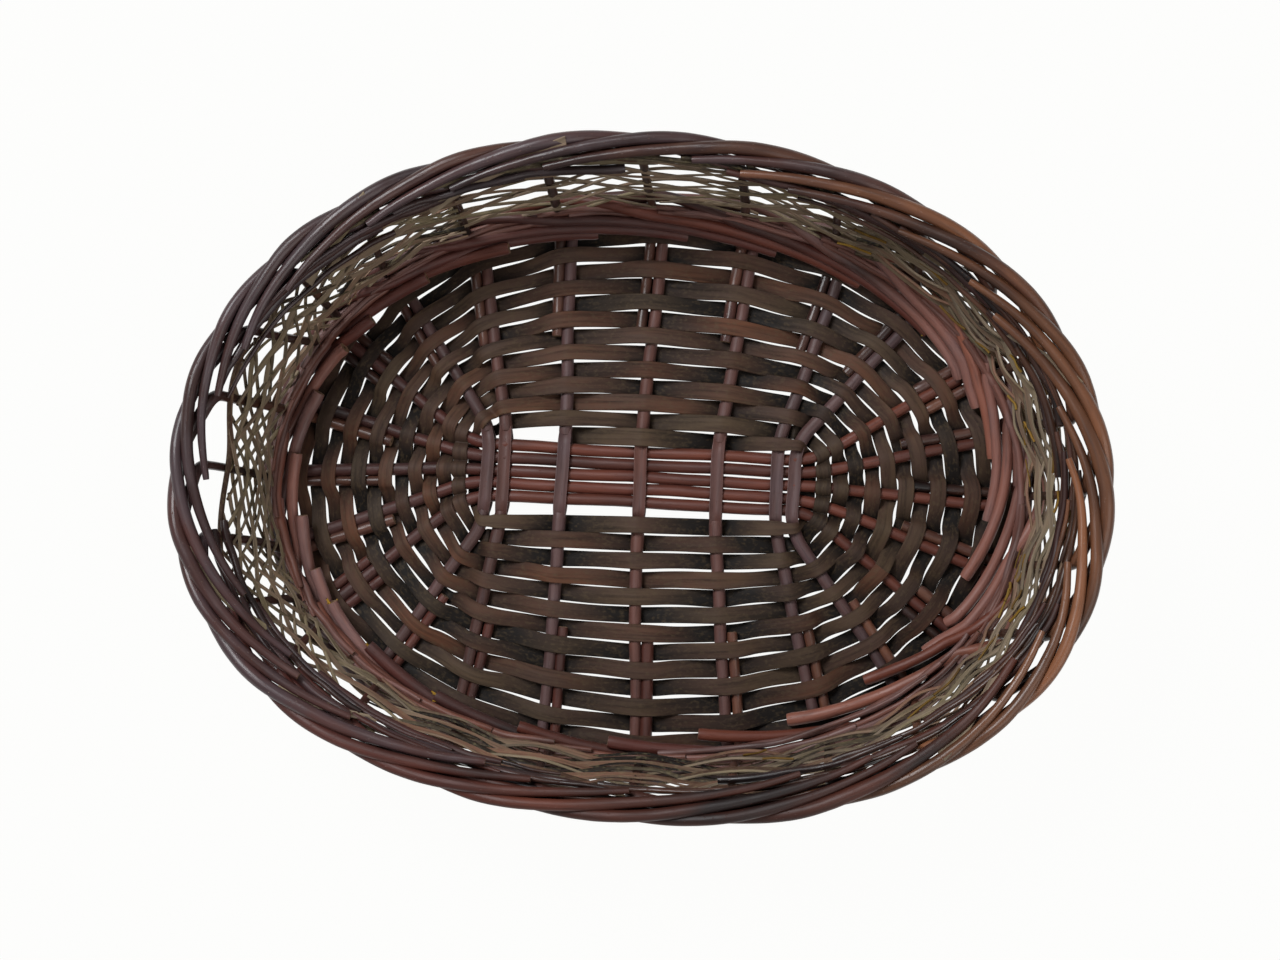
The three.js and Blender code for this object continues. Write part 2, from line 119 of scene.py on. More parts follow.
STRIP_LIFT = max(BASE_STICK, STAKE) / 2 + CLEARANCE + BASE_STRIP_THICKNESS / 2
STICK_LEVEL = STRIP_LIFT + BASE_STRIP_THICKNESS / 2
BORDER_LAYER = STAKE + BORDER_GAP
BORDER_TOP = BASKET_HEIGHT - STAKE / 2
BORDER_LEVEL = BORDER_TOP - BORDER_LAYER
BORDER_OUT = STAKE + 2 * CLEARANCE + BORDER_ROOM
BORDER_REACH = BORDER_OUT + BORDER_SWELL + STAKE / 2

FOOT = (FOOT_LENGTH / 2, FOOT_WIDTH / 2)
RIM = (RIM_LENGTH / 2 - BORDER_REACH, RIM_WIDTH / 2 - BORDER_REACH)


def lerp(start, end, share):
    return start + (end - start) * share


def clamp(value, low=0.0, high=1.0):
    return max(low, min(high, value))


def smooth(share):
    share = clamp(share)
    return share * share * (3 - 2 * share)


def grade(values, start, span):
    """0 up to the start, then rising to 1 over the span."""
    return np.clip((values - start) / span, 0, 1)


def unit(vector):
    return vector / np.linalg.norm(vector)


def flat(x, y):
    return np.array([x, y, 0.0])


def oval_point(angle, half_x, half_y):
    swell = 1 + OVAL_FULLNESS * math.sin(2 * angle) ** 2
    return flat(half_x * swell * math.cos(angle), half_y * swell * math.sin(angle))


def oval_normal(angle, half_x, half_y):
    along = unit(oval_point(angle + 0.001, half_x, half_y) - oval_point(angle - 0.001, half_x, half_y))
    return flat(along[1], -along[0])


def wall_share(height):
    """0 at the foot of the wall, 1 where the border starts."""
    return (height - STICK_LEVEL) / (BORDER_LEVEL - STICK_LEVEL)


def wall_axes(height):
    share = wall_share(height)
    return lerp(FOOT[0], RIM[0], share), lerp(FOOT[1], RIM[1], share)


def near(angle, middle, reach):
    """1 at the middle angle, falling off over the reach. These two are in degrees."""
    away = math.remainder(angle - math.radians(middle), FULL_TURN)
    return math.exp(-((away / math.radians(reach)) ** 2))


def near_each(points, middle, reach):
    """near() for each of the points, by where it lies round the oval."""
    return np.array([near(math.atan2(y, x), middle, reach) for x, y, _ in points])


def wall_place(angle, height, out=0.0, axes_height=None):
    """A point of the leaning wall, or beside it. The wall is uneven, as it came out by hand."""
    axes_height = height if axes_height is None else axes_height
    axes = wall_axes(axes_height)
    share = clamp(wall_share(axes_height))
    uneven = RIM_UNEVENNESS * share * math.sin(3 * angle)
    out += share * (RIM_BULGE * near(angle, *RIM_BULGE_AT) - RIM_DENT * near(angle, *RIM_DENT_AT))
    out -= END_BOW * math.cos(angle) ** 2 * math.sin(math.pi * share**0.8)
    belly = smooth((share - 0.17) / 0.15) * smooth((0.95 - share) / 0.6)
    out -= LOW_BELLY * near(angle, *LOW_BELLY_AT) * belly
    place = oval_point(angle, *axes) * (1 - uneven) + out * oval_normal(angle, *axes)
    place[2] = height
    return place


def base_level(x, y):
    share = math.hypot(x / FOOT[0], y / FOOT[1])
    fall = clamp((share - 0.5) / 0.4)
    return STICK_LEVEL + BASE_CROWN * (1 + math.cos(math.pi * fall)) / 2


def curve(start, corner, end, share):
    return (1 - share) ** 2 * start + 2 * share * (1 - share) * corner + share**2 * end


def bend(start, corner, end):
    return [curve(start, corner, end, step / 4) for step in range(5)]


def flow(stations, spacing=WALK):
    """Rounds the corners of a line of stations and walks along it in short steps."""
    stations = np.asarray(stations, float)
    middles = (stations[1:] + stations[:-1]) / 2
    middles[0] = stations[0]
    middles[-1] = stations[-1]
    walked = []
    for index in range(1, len(stations) - 1):
        start, corner, end = middles[index - 1], stations[index], middles[index]
        length = np.linalg.norm((corner - start)[:3]) + np.linalg.norm((end - corner)[:3])
        steps = max(1, math.ceil(length / spacing))
        walked.extend(curve(start, corner, end, step / steps) for step in range(steps))
    walked.append(middles[-1])
    return np.array(walked)


# Spokes: the ends of the long and the cross sticks

HALF_LONG = (LONG_STICKS - 1) // 2
BUNDLE_HALF = HALF_LONG * LONG_PITCH + BASE_STICK / 2
LOOP_TOP = LONG_SHIFT + BUNDLE_HALF + ROW_GAP + BASE_STRIP_WIDTH / 2
LOOP_BOTTOM = LONG_SHIFT - BUNDLE_HALF - LOWER_OPENING - BASE_STRIP_WIDTH / 2
LOOP_HALF_LENGTH = CROSS_REACH + BASE_STICK / 2 + ROW_GAP + BASE_STRIP_WIDTH / 2
CROSS_ENDS = (CROSS_REACH, CROSS_REACH - CROSS_PAIR, CROSS_PITCH)
CROSS_PLACES = [CROSS_SHIFT + x for x in (*(-end for end in CROSS_ENDS), 0, *reversed(CROSS_ENDS))]
LONG_PLACES = [LONG_SHIFT + (stick - HALF_LONG) * LONG_PITCH for stick in range(LONG_STICKS)]
CROSS_COUNT = len(CROSS_PLACES)
SPOKE_COUNT = 2 * (LONG_STICKS + CROSS_COUNT)
SPOKE_STEP = FULL_TURN / SPOKE_COUNT


def list_spokes():
    rise = LOWER_CLOSING / (CROSS_PLACES[-1] - CROSS_PLACES[0])
    sides = (
        [(CROSS_SHIFT + LOOP_HALF_LENGTH, y) for y in LONG_PLACES],
        [(x, LOOP_TOP) for x in reversed(CROSS_PLACES)],
        [(CROSS_SHIFT - LOOP_HALF_LENGTH, y) for y in reversed(LONG_PLACES)],
        [(x, LOOP_BOTTOM + rise * (x - CROSS_PLACES[0])) for x in CROSS_PLACES],
    )
    spokes = []
    for turn, side in enumerate(sides):
        for order, (x, y) in enumerate(side):
            angle = (len(spokes) - HALF_LONG) * SPOKE_STEP
            spoke = {"turn": turn, "order": order, "long": turn % 2 == 0, "start": flat(x, y)}
            spoke["end"] = order in (0, len(side) - 1)
            spoke["tip"] = oval_point(angle, FOOT[0] - LAST_ROW_INSET, FOOT[1] - LAST_ROW_INSET)
            spokes.append(spoke)
    return spokes[HALF_LONG:] + spokes[:HALF_LONG]


SPOKES = list_spokes()
SIDE_ROOM = FOOT[1] - LAST_ROW_INSET - (LOOP_TOP - LOOP_BOTTOM) / 2
ROW_SPANS = 2 * int(SIDE_ROOM / (BASE_STRIP_WIDTH + ROW_GAP) / 2)
SPOKE_TIP_ROW = ROW_SPANS + 0.45


def row_point(index, row):
    spoke = SPOKES[index % SPOKE_COUNT]
    return lerp(spoke["start"], spoke["tip"], row / ROW_SPANS)


def on_base(point):
    return np.array([point[0], point[1], base_level(point[0], point[1])])


def cross_radius(share):
    """Cross sticks are thickest in the middle of the base."""
    return lerp(CROSS_STICK, BASE_STICK, clamp(share)) / 2


def find_spoke(turn, order):
    return next(i for i, s in enumerate(SPOKES) if s["turn"] == turn and s["order"] == order)


# Stakes: one beside each spoke, and a second one at the corners of the oval

BUTT_OFFSET = BASE_STICK / 2 + CLEARANCE + STAKE / 2


def foot_crossing(start, direction):
    """The angle at which a stake crosses the oval of the foot, found by halving."""
    inside, outside = 0.0, FOOT[0]
    for _ in range(30):
        reach = (inside + outside) / 2
        point = start + reach * direction
        angle = math.atan2(point[1] / FOOT[1], point[0] / FOOT[0])
        if np.linalg.norm(point) > np.linalg.norm(oval_point(angle, *FOOT)):
            outside = reach
        else:
            inside = reach
    return angle


def list_stakes():
    stakes = []
    for index, spoke in enumerate(SPOKES):
        corner = spoke["long"] and spoke["end"]
        butt = CORNER_BUTT_ROW if corner else BUTT_ROW
        along = unit(spoke["tip"] - spoke["start"])
        nominal = index * SPOKE_STEP
        for side in (-1, 1) if corner else (1,):
            start = row_point(index, butt) + side * BUTT_OFFSET * flat(-along[1], along[0])
            turn = foot_crossing(start, along) - nominal
            foot = nominal + math.atan2(math.sin(turn), math.cos(turn))
            stakes.append({"spoke": index, "side": side, "butt": butt, "start": start, "foot": foot})
    return stakes


STAKES = list_stakes()
STAKE_COUNT = len(STAKES)
STAKE_STEP = FULL_TURN / STAKE_COUNT
RIM_START = sum(s["foot"] - k * STAKE_STEP for k, s in enumerate(STAKES)) / STAKE_COUNT


def stake_angle(order, height):
    round_count = order // STAKE_COUNT
    foot = STAKES[order - round_count * STAKE_COUNT]["foot"] + round_count * FULL_TURN
    return lerp(foot, RIM_START + order * STAKE_STEP, wall_share(height))


def wall_angle(place, height):
    order = math.floor(place)
    return lerp(stake_angle(order, height), stake_angle(order + 1, height), place - order)


# Nodes, for shapes and for finishes


class Wire:
    """One output socket. Arithmetic on it adds Math nodes."""

    def __init__(self, nodes, socket):
        self.nodes = nodes
        self.socket = socket

    def math(self, operation, *others):
        values = dict(enumerate((self, *others)))
        return self.nodes.add("ShaderNodeMath", values, operation=operation)

    def __add__(self, other):
        return self.math("ADD", other)

    __radd__ = __add__

    def __mul__(self, other):
        return self.math("MULTIPLY", other)

    __rmul__ = __mul__

    def __sub__(self, other):
        return self.math("SUBTRACT", other)

    def __rsub__(self, other):
        return self.nodes.add("ShaderNodeMath", {0: other, 1: self}, operation="SUBTRACT")

    def __pow__(self, other):
        return self.math("POWER", other)

    def __gt__(self, other):
        return self.math("GREATER_THAN", other)


class Nodes:
    """Adds nodes to one tree: a kind, the values or links of its sockets, and its settings."""

    def __init__(self, tree):
        self.tree = tree

    def add(self, kind, values=None, out=0, **settings):
        node = self.tree.nodes.new(kind)
        for name, value in settings.items():
            if name == "stops":
                self.set_stops(node.color_ramp, value)
            elif name == "captures":
                for data_type, label in value:
                    node.capture_items.new(data_type, label)
            else:
                setattr(node, name, value)
        for name, value in (values or {}).items():
            socket = node.inputs[name]
            if isinstance(value, Wire):
                self.tree.links.new(value.socket, socket)
            else:
                socket.default_value = value
        if isinstance(out, tuple):
            return [Wire(self, node.outputs[pick]) for pick in out]
        return Wire(self, node.outputs[out]) if node.outputs else node

    @staticmethod
    def set_stops(ramp, stops):
        while len(ramp.elements) < len(stops):
            ramp.elements.new(1.0)
        for element, (place, value) in zip(ramp.elements, stops):
            element.position = place
            element.color = (value, value, value, 1)

    def mix(self, share, low, high):
        """Blends two colours."""
        return self.add("ShaderNodeMix", {0: share, 6: low, 7: high}, out=2, data_type="RGBA")

    def ramp(self, share, *stops):
        return self.add("ShaderNodeValToRGB", {"Fac": share}, stops=stops)

    def lay(self, colour, other, share, start, end, most=1.0):
        """Lays another colour over this one, from where the share passes the start."""
        return self.mix(self.ramp(share, (start, 0.0), (end, most)), colour, other)

    def stretch(self, place, across, along):
        values = {0: place, 1: (across, across, along)}
        return self.add("ShaderNodeVectorMath", values, operation="MULTIPLY")

    def grain_noise(self, place, across, along, detail=2.0):
        """Noise that is drawn out along the grain. The numbers are how fine it is each way."""
        values = {"Vector": self.stretch(place, across, along), "Scale": 1.0, "Detail": detail}
        return self.add("ShaderNodeTexNoise", values)


# Shapes: a whole rod and a split strip, each along a path

FINISH_INPUTS = {"Relief": "Float", "Bark": "Material", "Cut": "Material"}
ROD_INPUTS = {"Path": "Geometry", "Sides": "Int", **FINISH_INPUTS}
STRIP_SIZES = {"Cuts": "Int", "Thickness share": "Float", "Crown share": "Float"}
STRIP_INPUTS = {"Path": "Geometry", **STRIP_SIZES, **FINISH_INPUTS}


def shape_tree(name, inputs):
    tree = bpy.data.node_groups.new(name, "GeometryNodeTree")
    for label, kind in inputs.items():
        tree.interface.new_socket(label, in_out="INPUT", socket_type=f"NodeSocket{kind}")
    tree.interface.new_socket("Geometry", in_out="OUTPUT", socket_type="NodeSocketGeometry")
    nodes = Nodes(tree)
    return nodes, nodes.add("NodeGroupInput", out=tuple(inputs))


def named(nodes, name, data_type="FLOAT"):
    return nodes.add("GeometryNodeInputNamedAttribute", {"Name": name}, data_type=data_type)


def sweep(nodes, path, profile):
    """Runs a profile along the path, and keeps where each point lies along and round it."""
    length = nodes.add("GeometryNodeSplineParameter", out=1)
    tip = nodes.add("GeometryNodeCurveEndpointSelection", {0: 1, 1: 1})
    width = named(nodes, "radius")
    path, length, tip, breadth = nodes.add(
        "GeometryNodeCaptureAttribute",
        {"Geometry": path, 1: length, 2: tip, 3: width},
        out=(0, 1, 2, 3),
        captures=[("FLOAT", "length"), ("FLOAT", "tip"), ("FLOAT", "breadth")],
    )
    profile, spot = nodes.add(
        "GeometryNodeCaptureAttribute",
        {"Geometry": profile, 1: nodes.add("GeometryNodeInputPosition")},
        out=(0, 1),
        captures=[("VECTOR", "spot")],
    )
    values = {"Curve": path, "Profile Curve": profile, "Scale": width, "Fill Caps": True}
    mesh = nodes.add("GeometryNodeCurveToMesh", values)
    side, face, _ = nodes.add("ShaderNodeSeparateXYZ", {0: spot}, out=(0, 1, 2))
    values = {0: side * breadth, 1: face * breadth, 2: length + named(nodes, "start")}
    place = nodes.add("ShaderNodeCombineXYZ", values)
    mesh = nodes.add(
        "GeometryNodeStoreNamedAttribute",
        {"Geometry": mesh, "Name": "grain", "Value": place},
        data_type="FLOAT_VECTOR",
        domain="POINT",
    )
    return mesh, place, tip


def finish_shape(nodes, mesh, tip, bark, cut, crease):
    """Crisp edges, the bark, and the cut wood on the ends."""
    edge = nodes.add("GeometryNodeInputMeshEdgeAngle")
    values = {"Geometry": mesh, "Selection": edge > crease, "Shade Smooth": False}
    mesh = nodes.add("GeometryNodeSetShadeSmooth", values, domain="EDGE")
    mesh = nodes.add("GeometryNodeRealizeInstances", {"Geometry": mesh})
    mesh = nodes.add("GeometryNodeSetMaterial", {"Geometry": mesh, "Material": bark})
    values = {"Geometry": mesh, "Selection": tip > 0.99, "Material": cut}
    nodes.add("NodeGroupOutput", {0: nodes.add("GeometryNodeSetMaterial", values)})
    return nodes.tree


def push_out(nodes, mesh, amount):
    values = {0: nodes.add("GeometryNodeInputNormal"), "Scale": amount}
    shift = nodes.add("ShaderNodeVectorMath", values, operation="SCALE")
    return nodes.add("GeometryNodeSetPosition", {"Geometry": mesh, "Offset": shift})


def make_rod_tree():
    nodes, (path, sides, relief, bark, cut) = shape_tree("whole rod", ROD_INPUTS)
    path = nodes.add("GeometryNodeMeshToCurve", {"Mesh": path})
    circle = nodes.add("GeometryNodeCurvePrimitiveCircle", {"Resolution": sides, "Radius": 1.0})
    mesh, place, tip = sweep(nodes, path, circle)
    lumps = nodes.grain_noise(place, 190, 55) - 0.5
    wrinkles = nodes.grain_noise(place, 900, 160) - 0.5
    mesh = push_out(nodes, mesh, relief * (lumps * 1.6 + wrinkles * 0.45))
    return finish_shape(nodes, mesh, tip, bark, cut, 0.9)


def make_strip_tree():
    nodes, inputs = shape_tree("split strip", STRIP_INPUTS)
    path, cuts, thickness, crown, relief, bark, cut = inputs
    path = nodes.add("GeometryNodeMeshToCurve", {"Mesh": path})
    values = {"Curve": path, "Normal": named(nodes, "across", "FLOAT_VECTOR")}
    path = nodes.add("GeometryNodeSetCurveNormal", values, mode="FREE")
    values = {"Width": 1.0, "Height": thickness}
    outline = nodes.add("GeometryNodeCurvePrimitiveQuadrilateral", values)
    values = {"Curve": outline, "Count": 1, "Radius": thickness * 0.28}
    outline = nodes.add("GeometryNodeFilletCurve", values, mode="POLY")
    outline = nodes.add("GeometryNodeSubdivideCurve", {"Curve": outline, "Cuts": cuts})
    side = nodes.add("ShaderNodeSeparateXYZ", {0: nodes.add("GeometryNodeInputPosition")})
    hump = nodes.add("ShaderNodeCombineXYZ", {1: (0.25 - side * side) * crown * 4})
    outline = nodes.add("GeometryNodeSetPosition", {"Geometry": outline, "Offset": hump})
    mesh, place, tip = sweep(nodes, path, outline)
    waves = nodes.grain_noise(place, 320, 45) - 0.5
    mesh = push_out(nodes, mesh, relief * waves)
    return finish_shape(nodes, mesh, tip, bark, cut, 0.55)


# Finishes


def tint(code):
    """A colour as it looks on a screen, such as 6b3a30."""
    parts = [int(code[index : index + 2], 16) / 255 for index in (0, 2, 4)]
    linear = [p / 12.92 if p <= 0.04045 else ((p + 0.055) / 1.055) ** 2.4 for p in parts]
    return (*linear, 1.0)


def new_finish(name):
    material = bpy.data.materials.new(name)
    material.use_nodes = True
    material.node_tree.nodes.clear()
    return material, Nodes(material.node_tree)


def attribute(nodes, name, out=2):
    return nodes.add("ShaderNodeAttribute", out=out, attribute_name=name)


def new_wood(name):
    """A finish, with the grain, the tone and the warmth that a piece carries. The tone holds painted
    light and shade as well as the wood's own tone.
    """
    material, nodes = new_finish(name)
    place = attribute(nodes, "grain", 1)
    return material, nodes, place, attribute(nodes, "tone"), attribute(nodes, "warm")


def close_finish(nodes, colour, roughness, height, depth, specular=0.4):
    values = {"Strength": 1.0, "Distance": depth, "Height": height}
    values = {
        "Base Color": colour,
        "Roughness": roughness,
        "Normal": nodes.add("ShaderNodeBump", values),
        "Specular IOR Level": specular,
    }
    shader = nodes.add("ShaderNodeBsdfPrincipled", values)
    nodes.add("ShaderNodeOutputMaterial", {"Surface": shader})


def make_bark(name, colours, roughness):
    """Smooth willow bark: long streaks, blotches and small pores."""
    deep, middle, warm, dusk = map(tint, colours.split())
    material, nodes, place, tone, warmth = new_wood(name)
    streaks = nodes.grain_noise(place, 750, 60, 4)
    blotches = nodes.grain_noise(place, 130, 38, 4)
    cloud = nodes.grain_noise(place, 60, 14, 2)
    values = {"Vector": nodes.stretch(place, 600, 330), "Scale": 1.0}
    pores = nodes.add("ShaderNodeTexVoronoi", values, feature="F1")
    pore = nodes.ramp(pores, (0.08, 1.0), (0.17, 0.0))
    colour = nodes.lay(middle, warm, warmth + (blotches - 0.5) * 0.9, 0.25, 0.8)
    colour = nodes.lay(colour, deep, 1 - tone + (cloud - 0.5) * 1.3, 0.3, 1.05)
    colour = nodes.lay(colour, dusk, (blotches - 0.5) * 2 + (0.4 - warmth), 0.1, 0.7, 0.75)
    colour = nodes.lay(colour, deep, streaks, 0.5, 0.78, 0.45)
    colour = nodes.mix(pore * 0.2, colour, warm)
    rough = roughness + (streaks - 0.5) * 0.25 + (blotches - 0.5) * 0.2
    close_finish(nodes, colour, rough, streaks * 0.5 + blotches * 0.4 + pore * 0.25, 0.0004)
    return material


def make_split(name, colours, roughness):
    """Split willow: matt, fibrous along its length, patched with bark stain."""
    deep, middle, warm, olive = map(tint, colours.split())
    material, nodes, place, tone, warmth = new_wood(name)
    fibres = nodes.grain_noise(place, 620, 40, 5)
    patches = nodes.grain_noise(place, 90, 22, 4)
    cloud = nodes.grain_noise(place, 40, 9, 2)
    worn = nodes.grain_noise(place, 800, 420, 5)
    colour = nodes.lay(middle, warm, warmth + (patches - 0.5) * 1.1, 0.35, 0.85)
    colour = nodes.lay(colour, olive, patches + (0.5 - warmth) * 0.6, 0.55, 0.8, 0.6)
    colour = nodes.lay(colour, deep, 1 - tone + (cloud - 0.5) * 1.4, 0.3, 1.0)
    colour = nodes.lay(colour, deep, fibres, 0.45, 0.75, 0.6)
    colour = nodes.lay(colour, olive, worn, 0.5, 0.72, 0.45)
    rough = roughness + (fibres - 0.5) * 0.3
    close_finish(nodes, colour, rough, fibres * 0.6 + patches * 0.4, 0.0003, 0.24)
    return material


def make_cut(name, colours):
    """The end grain of a cut rod: pale wood round a darker pith."""
    pale, pith = map(tint, colours.split())
    material, nodes = new_finish(name)
    place = attribute(nodes, "grain", 1)
    side, face, _ = nodes.add("ShaderNodeSeparateXYZ", {0: place}, out=(0, 1, 2))
    ring = (side * side + face * face) ** 0.5 * 1000
    grain = nodes.grain_noise(place, 1200, 1200, 3)
    colour = nodes.lay(pith, pale, ring * 0.4 + (grain - 0.5) * 0.5, 0.15, 0.5)
    close_finish(nodes, colour, 0.8, grain, 0.0003, 0.3)
    return material


# Bark: deep, middle, warm, dusk. Split willow: deep, middle, warm, olive. Cut: pale, pith.
reddish_bark = make_bark("reddish bark", "190c0a 5a2f28 703a2a 4e3634", 0.52)
rosy_bark = make_bark("rosy bark", "20110e 8f6055 985841 7d6463", 0.48)
dark_bark = make_bark("dark bark", "160d0c 573834 8c5b3f 4d4044", 0.33)
mauve_bark = make_bark("mauve bark", "1d100d 5c4240 643e35 55464b", 0.55)
dark_split = make_split("dark split willow", "110b08 4a362c 613c29 544532", 0.68)
olive_split = make_split("olive split willow", "1c140f 9a8874 8f6a57 918462", 0.66)
yellow_split = make_split("yellow split willow", "5a3f16 b08430 c29a3c 8d7436", 0.7)
cut_willow = make_cut("cut willow", "8a6c55 3b291b")

rod_tree = make_rod_tree()
strip_tree = make_strip_tree()


# Pieces

# How far the grain moves on from one line to the next, so that no two look alike
GRAIN_SHIFT = 1.37
# The last bit of a rod, which a worn cut makes thinner
CUT_EASE = 0.3
ROD_RELIEF = 0.28
STRIP_RELIEF = 0.05
FINE_RELIEF = 0.1

next_start = 0.0
# The sticks, stakes and upsett rods share these draws. The other pieces have seeds of their own.
chance = random.Random(11)


class Line:
    """One rod or strip before it gets its thickness: where it runs and how it looks."""

    def __init__(self, points, radius, tone, warm, across=None):
        every = np.ones(len(points))
        self.points = np.asarray(points, float)
        self.radius = every * radius
        self.tone = every * tone
        self.warm = every * warm
        self.across = np.outer(every, (0.0, 0.0, 1.0)) if across is None else across


def draw_lines(lines, name):
    """A mesh of bare lines in metres, with what the trees read from it."""
    global next_start
    edges = []
    first = 0
    for line in lines:
        count = len(line.points)
        edges.extend((first + step, first + step + 1) for step in range(count - 1))
        line.start = np.full(count, next_start)
        next_start += GRAIN_SHIFT
        first += count
    mesh = bpy.data.meshes.new(name)
    points = np.vstack([line.points for line in lines]) * MM
    mesh.from_pydata(points.tolist(), edges, [])
    for label, scale in (("radius", MM), ("tone", 1), ("warm", 1), ("start", 1)):
        numbers = np.concatenate([getattr(line, label) for line in lines]) * scale
        mesh.attributes.new(label, "FLOAT", "POINT").data.foreach_set("value", numbers)
    across = np.vstack([line.across for line in lines]).ravel()
    mesh.attributes.new("across", "FLOAT_VECTOR", "POINT").data.foreach_set("vector", across)
    return mesh


def new_object(name, data):
    made = bpy.data.objects.new(name, data)
    bpy.context.scene.collection.objects.link(made)
    return made


def grow(name, tree, lines, sizes, nodes):
    """Gives the lines their thickness and makes them one piece of the basket."""
    piece = new_object(name, draw_lines(lines, name))
    modifier = piece.modifiers.new("thickness", "NODES")
    modifier.node_group = tree
    for socket in tree.interface.items_tree:
        if socket.in_out == "INPUT" and socket.name in sizes:
            modifier[socket.identifier] = sizes[socket.name]
    depsgraph = bpy.context.evaluated_depsgraph_get()
    grown = bpy.data.meshes.new_from_object(
        piece.evaluated_get(depsgraph), preserve_all_data_layers=True, depsgraph=depsgraph
    )
    grown.name = name
    piece.modifiers.clear()
    piece.data = grown
    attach(piece, "root")
    if nodes:
        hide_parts(*nodes)


def grow_rods(name, lines, bark, nodes=(), sides=12, relief=ROD_RELIEF):
    sizes = {"Sides": sides, "Relief": relief * MM, "Bark": bark, "Cut": cut_willow}
    grow(name, rod_tree, lines, sizes, nodes)


def grow_strips(name, lines, bark, shares, nodes=(), cuts=1):
    """The shares are the thickness and the crown, as parts of the width."""
    sizes = {"Relief": STRIP_RELIEF * MM, "Bark": bark, "Cut": cut_willow}
    sizes.update({"Cuts": cuts, "Thickness share": shares[0], "Crown share": shares[1]})
    grow(name, strip_tree, lines, sizes, nodes)


def taper(points, butt, tip):
    """The radius all along a rod, from its butt to its tip."""
    return np.linspace(butt, tip, len(points))


def distances(points):
    """How far along the line each point lies."""
    steps = np.linalg.norm(np.diff(points[:, :3], axis=0), axis=1)
    return np.concatenate([[0], np.cumsum(steps)])


def rounded_ends(points, radius):
    along = distances(points)
    from_end = np.minimum(along, along[-1] - along)
    return radius * np.where(from_end < CUT_EASE, 0.9, 1.0)


def wobble(points, size, length, seed):
    """Moves a rod's line a little, slowly along it, as grown willow is never straight."""
    points = np.array(points, float)
    picker = random.Random(seed)
    along = distances(points)
    for axis in range(3):
        for octave in (1, 2.3):
            phase = picker.uniform(0, FULL_TURN)
            strength = size * picker.uniform(0.4, 1.0) / octave
            points[:, axis] += strength * np.sin(along * FULL_TURN * octave / length + phase)
    return points


def strip_line(stations, seed, tone, warm):
    """A station is a place, the direction of the width, the width and a change of tone, which on the
    base and side strips is painted light and shade.
    """
    walked = flow(stations)
    across = walked[:, 3:6] / np.linalg.norm(walked[:, 3:6], axis=1, keepdims=True)
    picker = random.Random(seed)
    tones = tone + walked[:, 7]
    warms = np.full(len(walked), warm)
    along = np.arange(len(walked)) * WALK
    for octave, strength in ((1, 0.12), (2.7, 0.16), (5.3, 0.14)):
        phase = picker.uniform(0, FULL_TURN)
        tones += strength * np.sin(along / 240 * octave + phase)
        warms += strength * np.sin(along / 310 * octave + phase * 1.7)
    return Line(walked[:, :3], walked[:, 6], tones, warms, across)


# Base sticks, with their half thickness at the butt and at the tip

LONG_STICK_RADII = (3.2, 2.85)


def stick_line(first, middles, last, seed):
    rows = [ROW_SPANS * share for share in (0, 0.25, 0.5, 0.75)] + [SPOKE_TIP_ROW]
    outer = [on_base(row_point(first, row)) for row in rows]
    inner = [on_base(row_point(last, row)) for row in rows]
    return wobble(flow([*reversed(outer), *middles, *inner]), 0.5, 110, seed)


for stick, y in enumerate(LONG_PLACES):
    left = find_spoke(2, LONG_STICKS - 1 - stick)
    middles = [on_base((x, y)) for x in (-60, -5, 50)]
    points = stick_line(left, middles, find_spoke(0, stick), 100 + stick)
    radius = rounded_ends(points, taper(points, *LONG_STICK_RADII))
    left_end = grade(-points[:, 0], 60, 60)
    tone = chance.uniform(0.4, 0.7) - 0.2 * left_end
    line = Line(points, radius, tone, chance.uniform(0.3, 0.8) - 0.5 * left_end)
    nodes = [f"base_long_stick_{stick + 1}"]
    grow_rods(f"long_stick_{stick + 1}", [line], reddish_bark, nodes)

SPLIT_HALF = BUNDLE_HALF + CLEARANCE
SLOT_HEIGHT = BASE_STICK / 2 + CLEARANCE
SPLIT_HEIGHT = SLOT_HEIGHT + SPLIT_BAR
SPLIT_END = SPLIT_HALF + SPLIT_TAPER * 0.35
SPLIT_SHARES = (0.2, 0.24)
# The halves of a split stick, where they meet and where they hold the long sticks
SPLIT_LIFTS = (0.9, SLOT_HEIGHT + 1.35)
SPLIT_WIDTHS = (5.6, 6.4)

for stick, x in enumerate(CROSS_PLACES):
    lower = find_spoke(3, stick)
    upper = find_spoke(1, CROSS_COUNT - 1 - stick)
    points = stick_line(lower, [on_base((x, LONG_SHIFT))], upper, 200 + stick)
    tone = chance.uniform(0.5, 0.75)
    warm = chance.uniform(0.2, 0.7)
    shift = points[:, 1] - LONG_SHIFT
    far = np.abs(shift).max() - SPLIT_END
    lines = []
    for part in (points[shift < -SPLIT_END], points[shift > SPLIT_END]):
        share = (np.abs(part[:, 1] - LONG_SHIFT) - SPLIT_END) / far
        radius = np.array([cross_radius(value) for value in share]) + 0.15
        lines.append(Line(part, rounded_ends(part, radius), tone, warm))
    bars = []
    for side in (1, -1):
        bar = points[np.abs(shift) < SPLIT_HALF + SPLIT_TAPER].copy()
        share = (np.abs(bar[:, 1] - LONG_SHIFT) - SPLIT_HALF) / SPLIT_TAPER
        ease = np.array([smooth(1 - value) for value in share])
        bar[:, 2] += side * lerp(*SPLIT_LIFTS, ease)
        across = np.tile([1.0, 0.0, 0.0], (len(bar), 1))
        bars.append(Line(bar, lerp(*SPLIT_WIDTHS, ease), tone, warm, across * side))
    name = f"cross_stick_{stick + 1}"
    grow_rods(name, lines, mauve_bark, [f"base_{name}"])
    name = f"cross_stick_split_{stick + 1}"
    grow_strips(name, bars, mauve_bark, SPLIT_SHARES, cuts=3)


# Stakes with their border


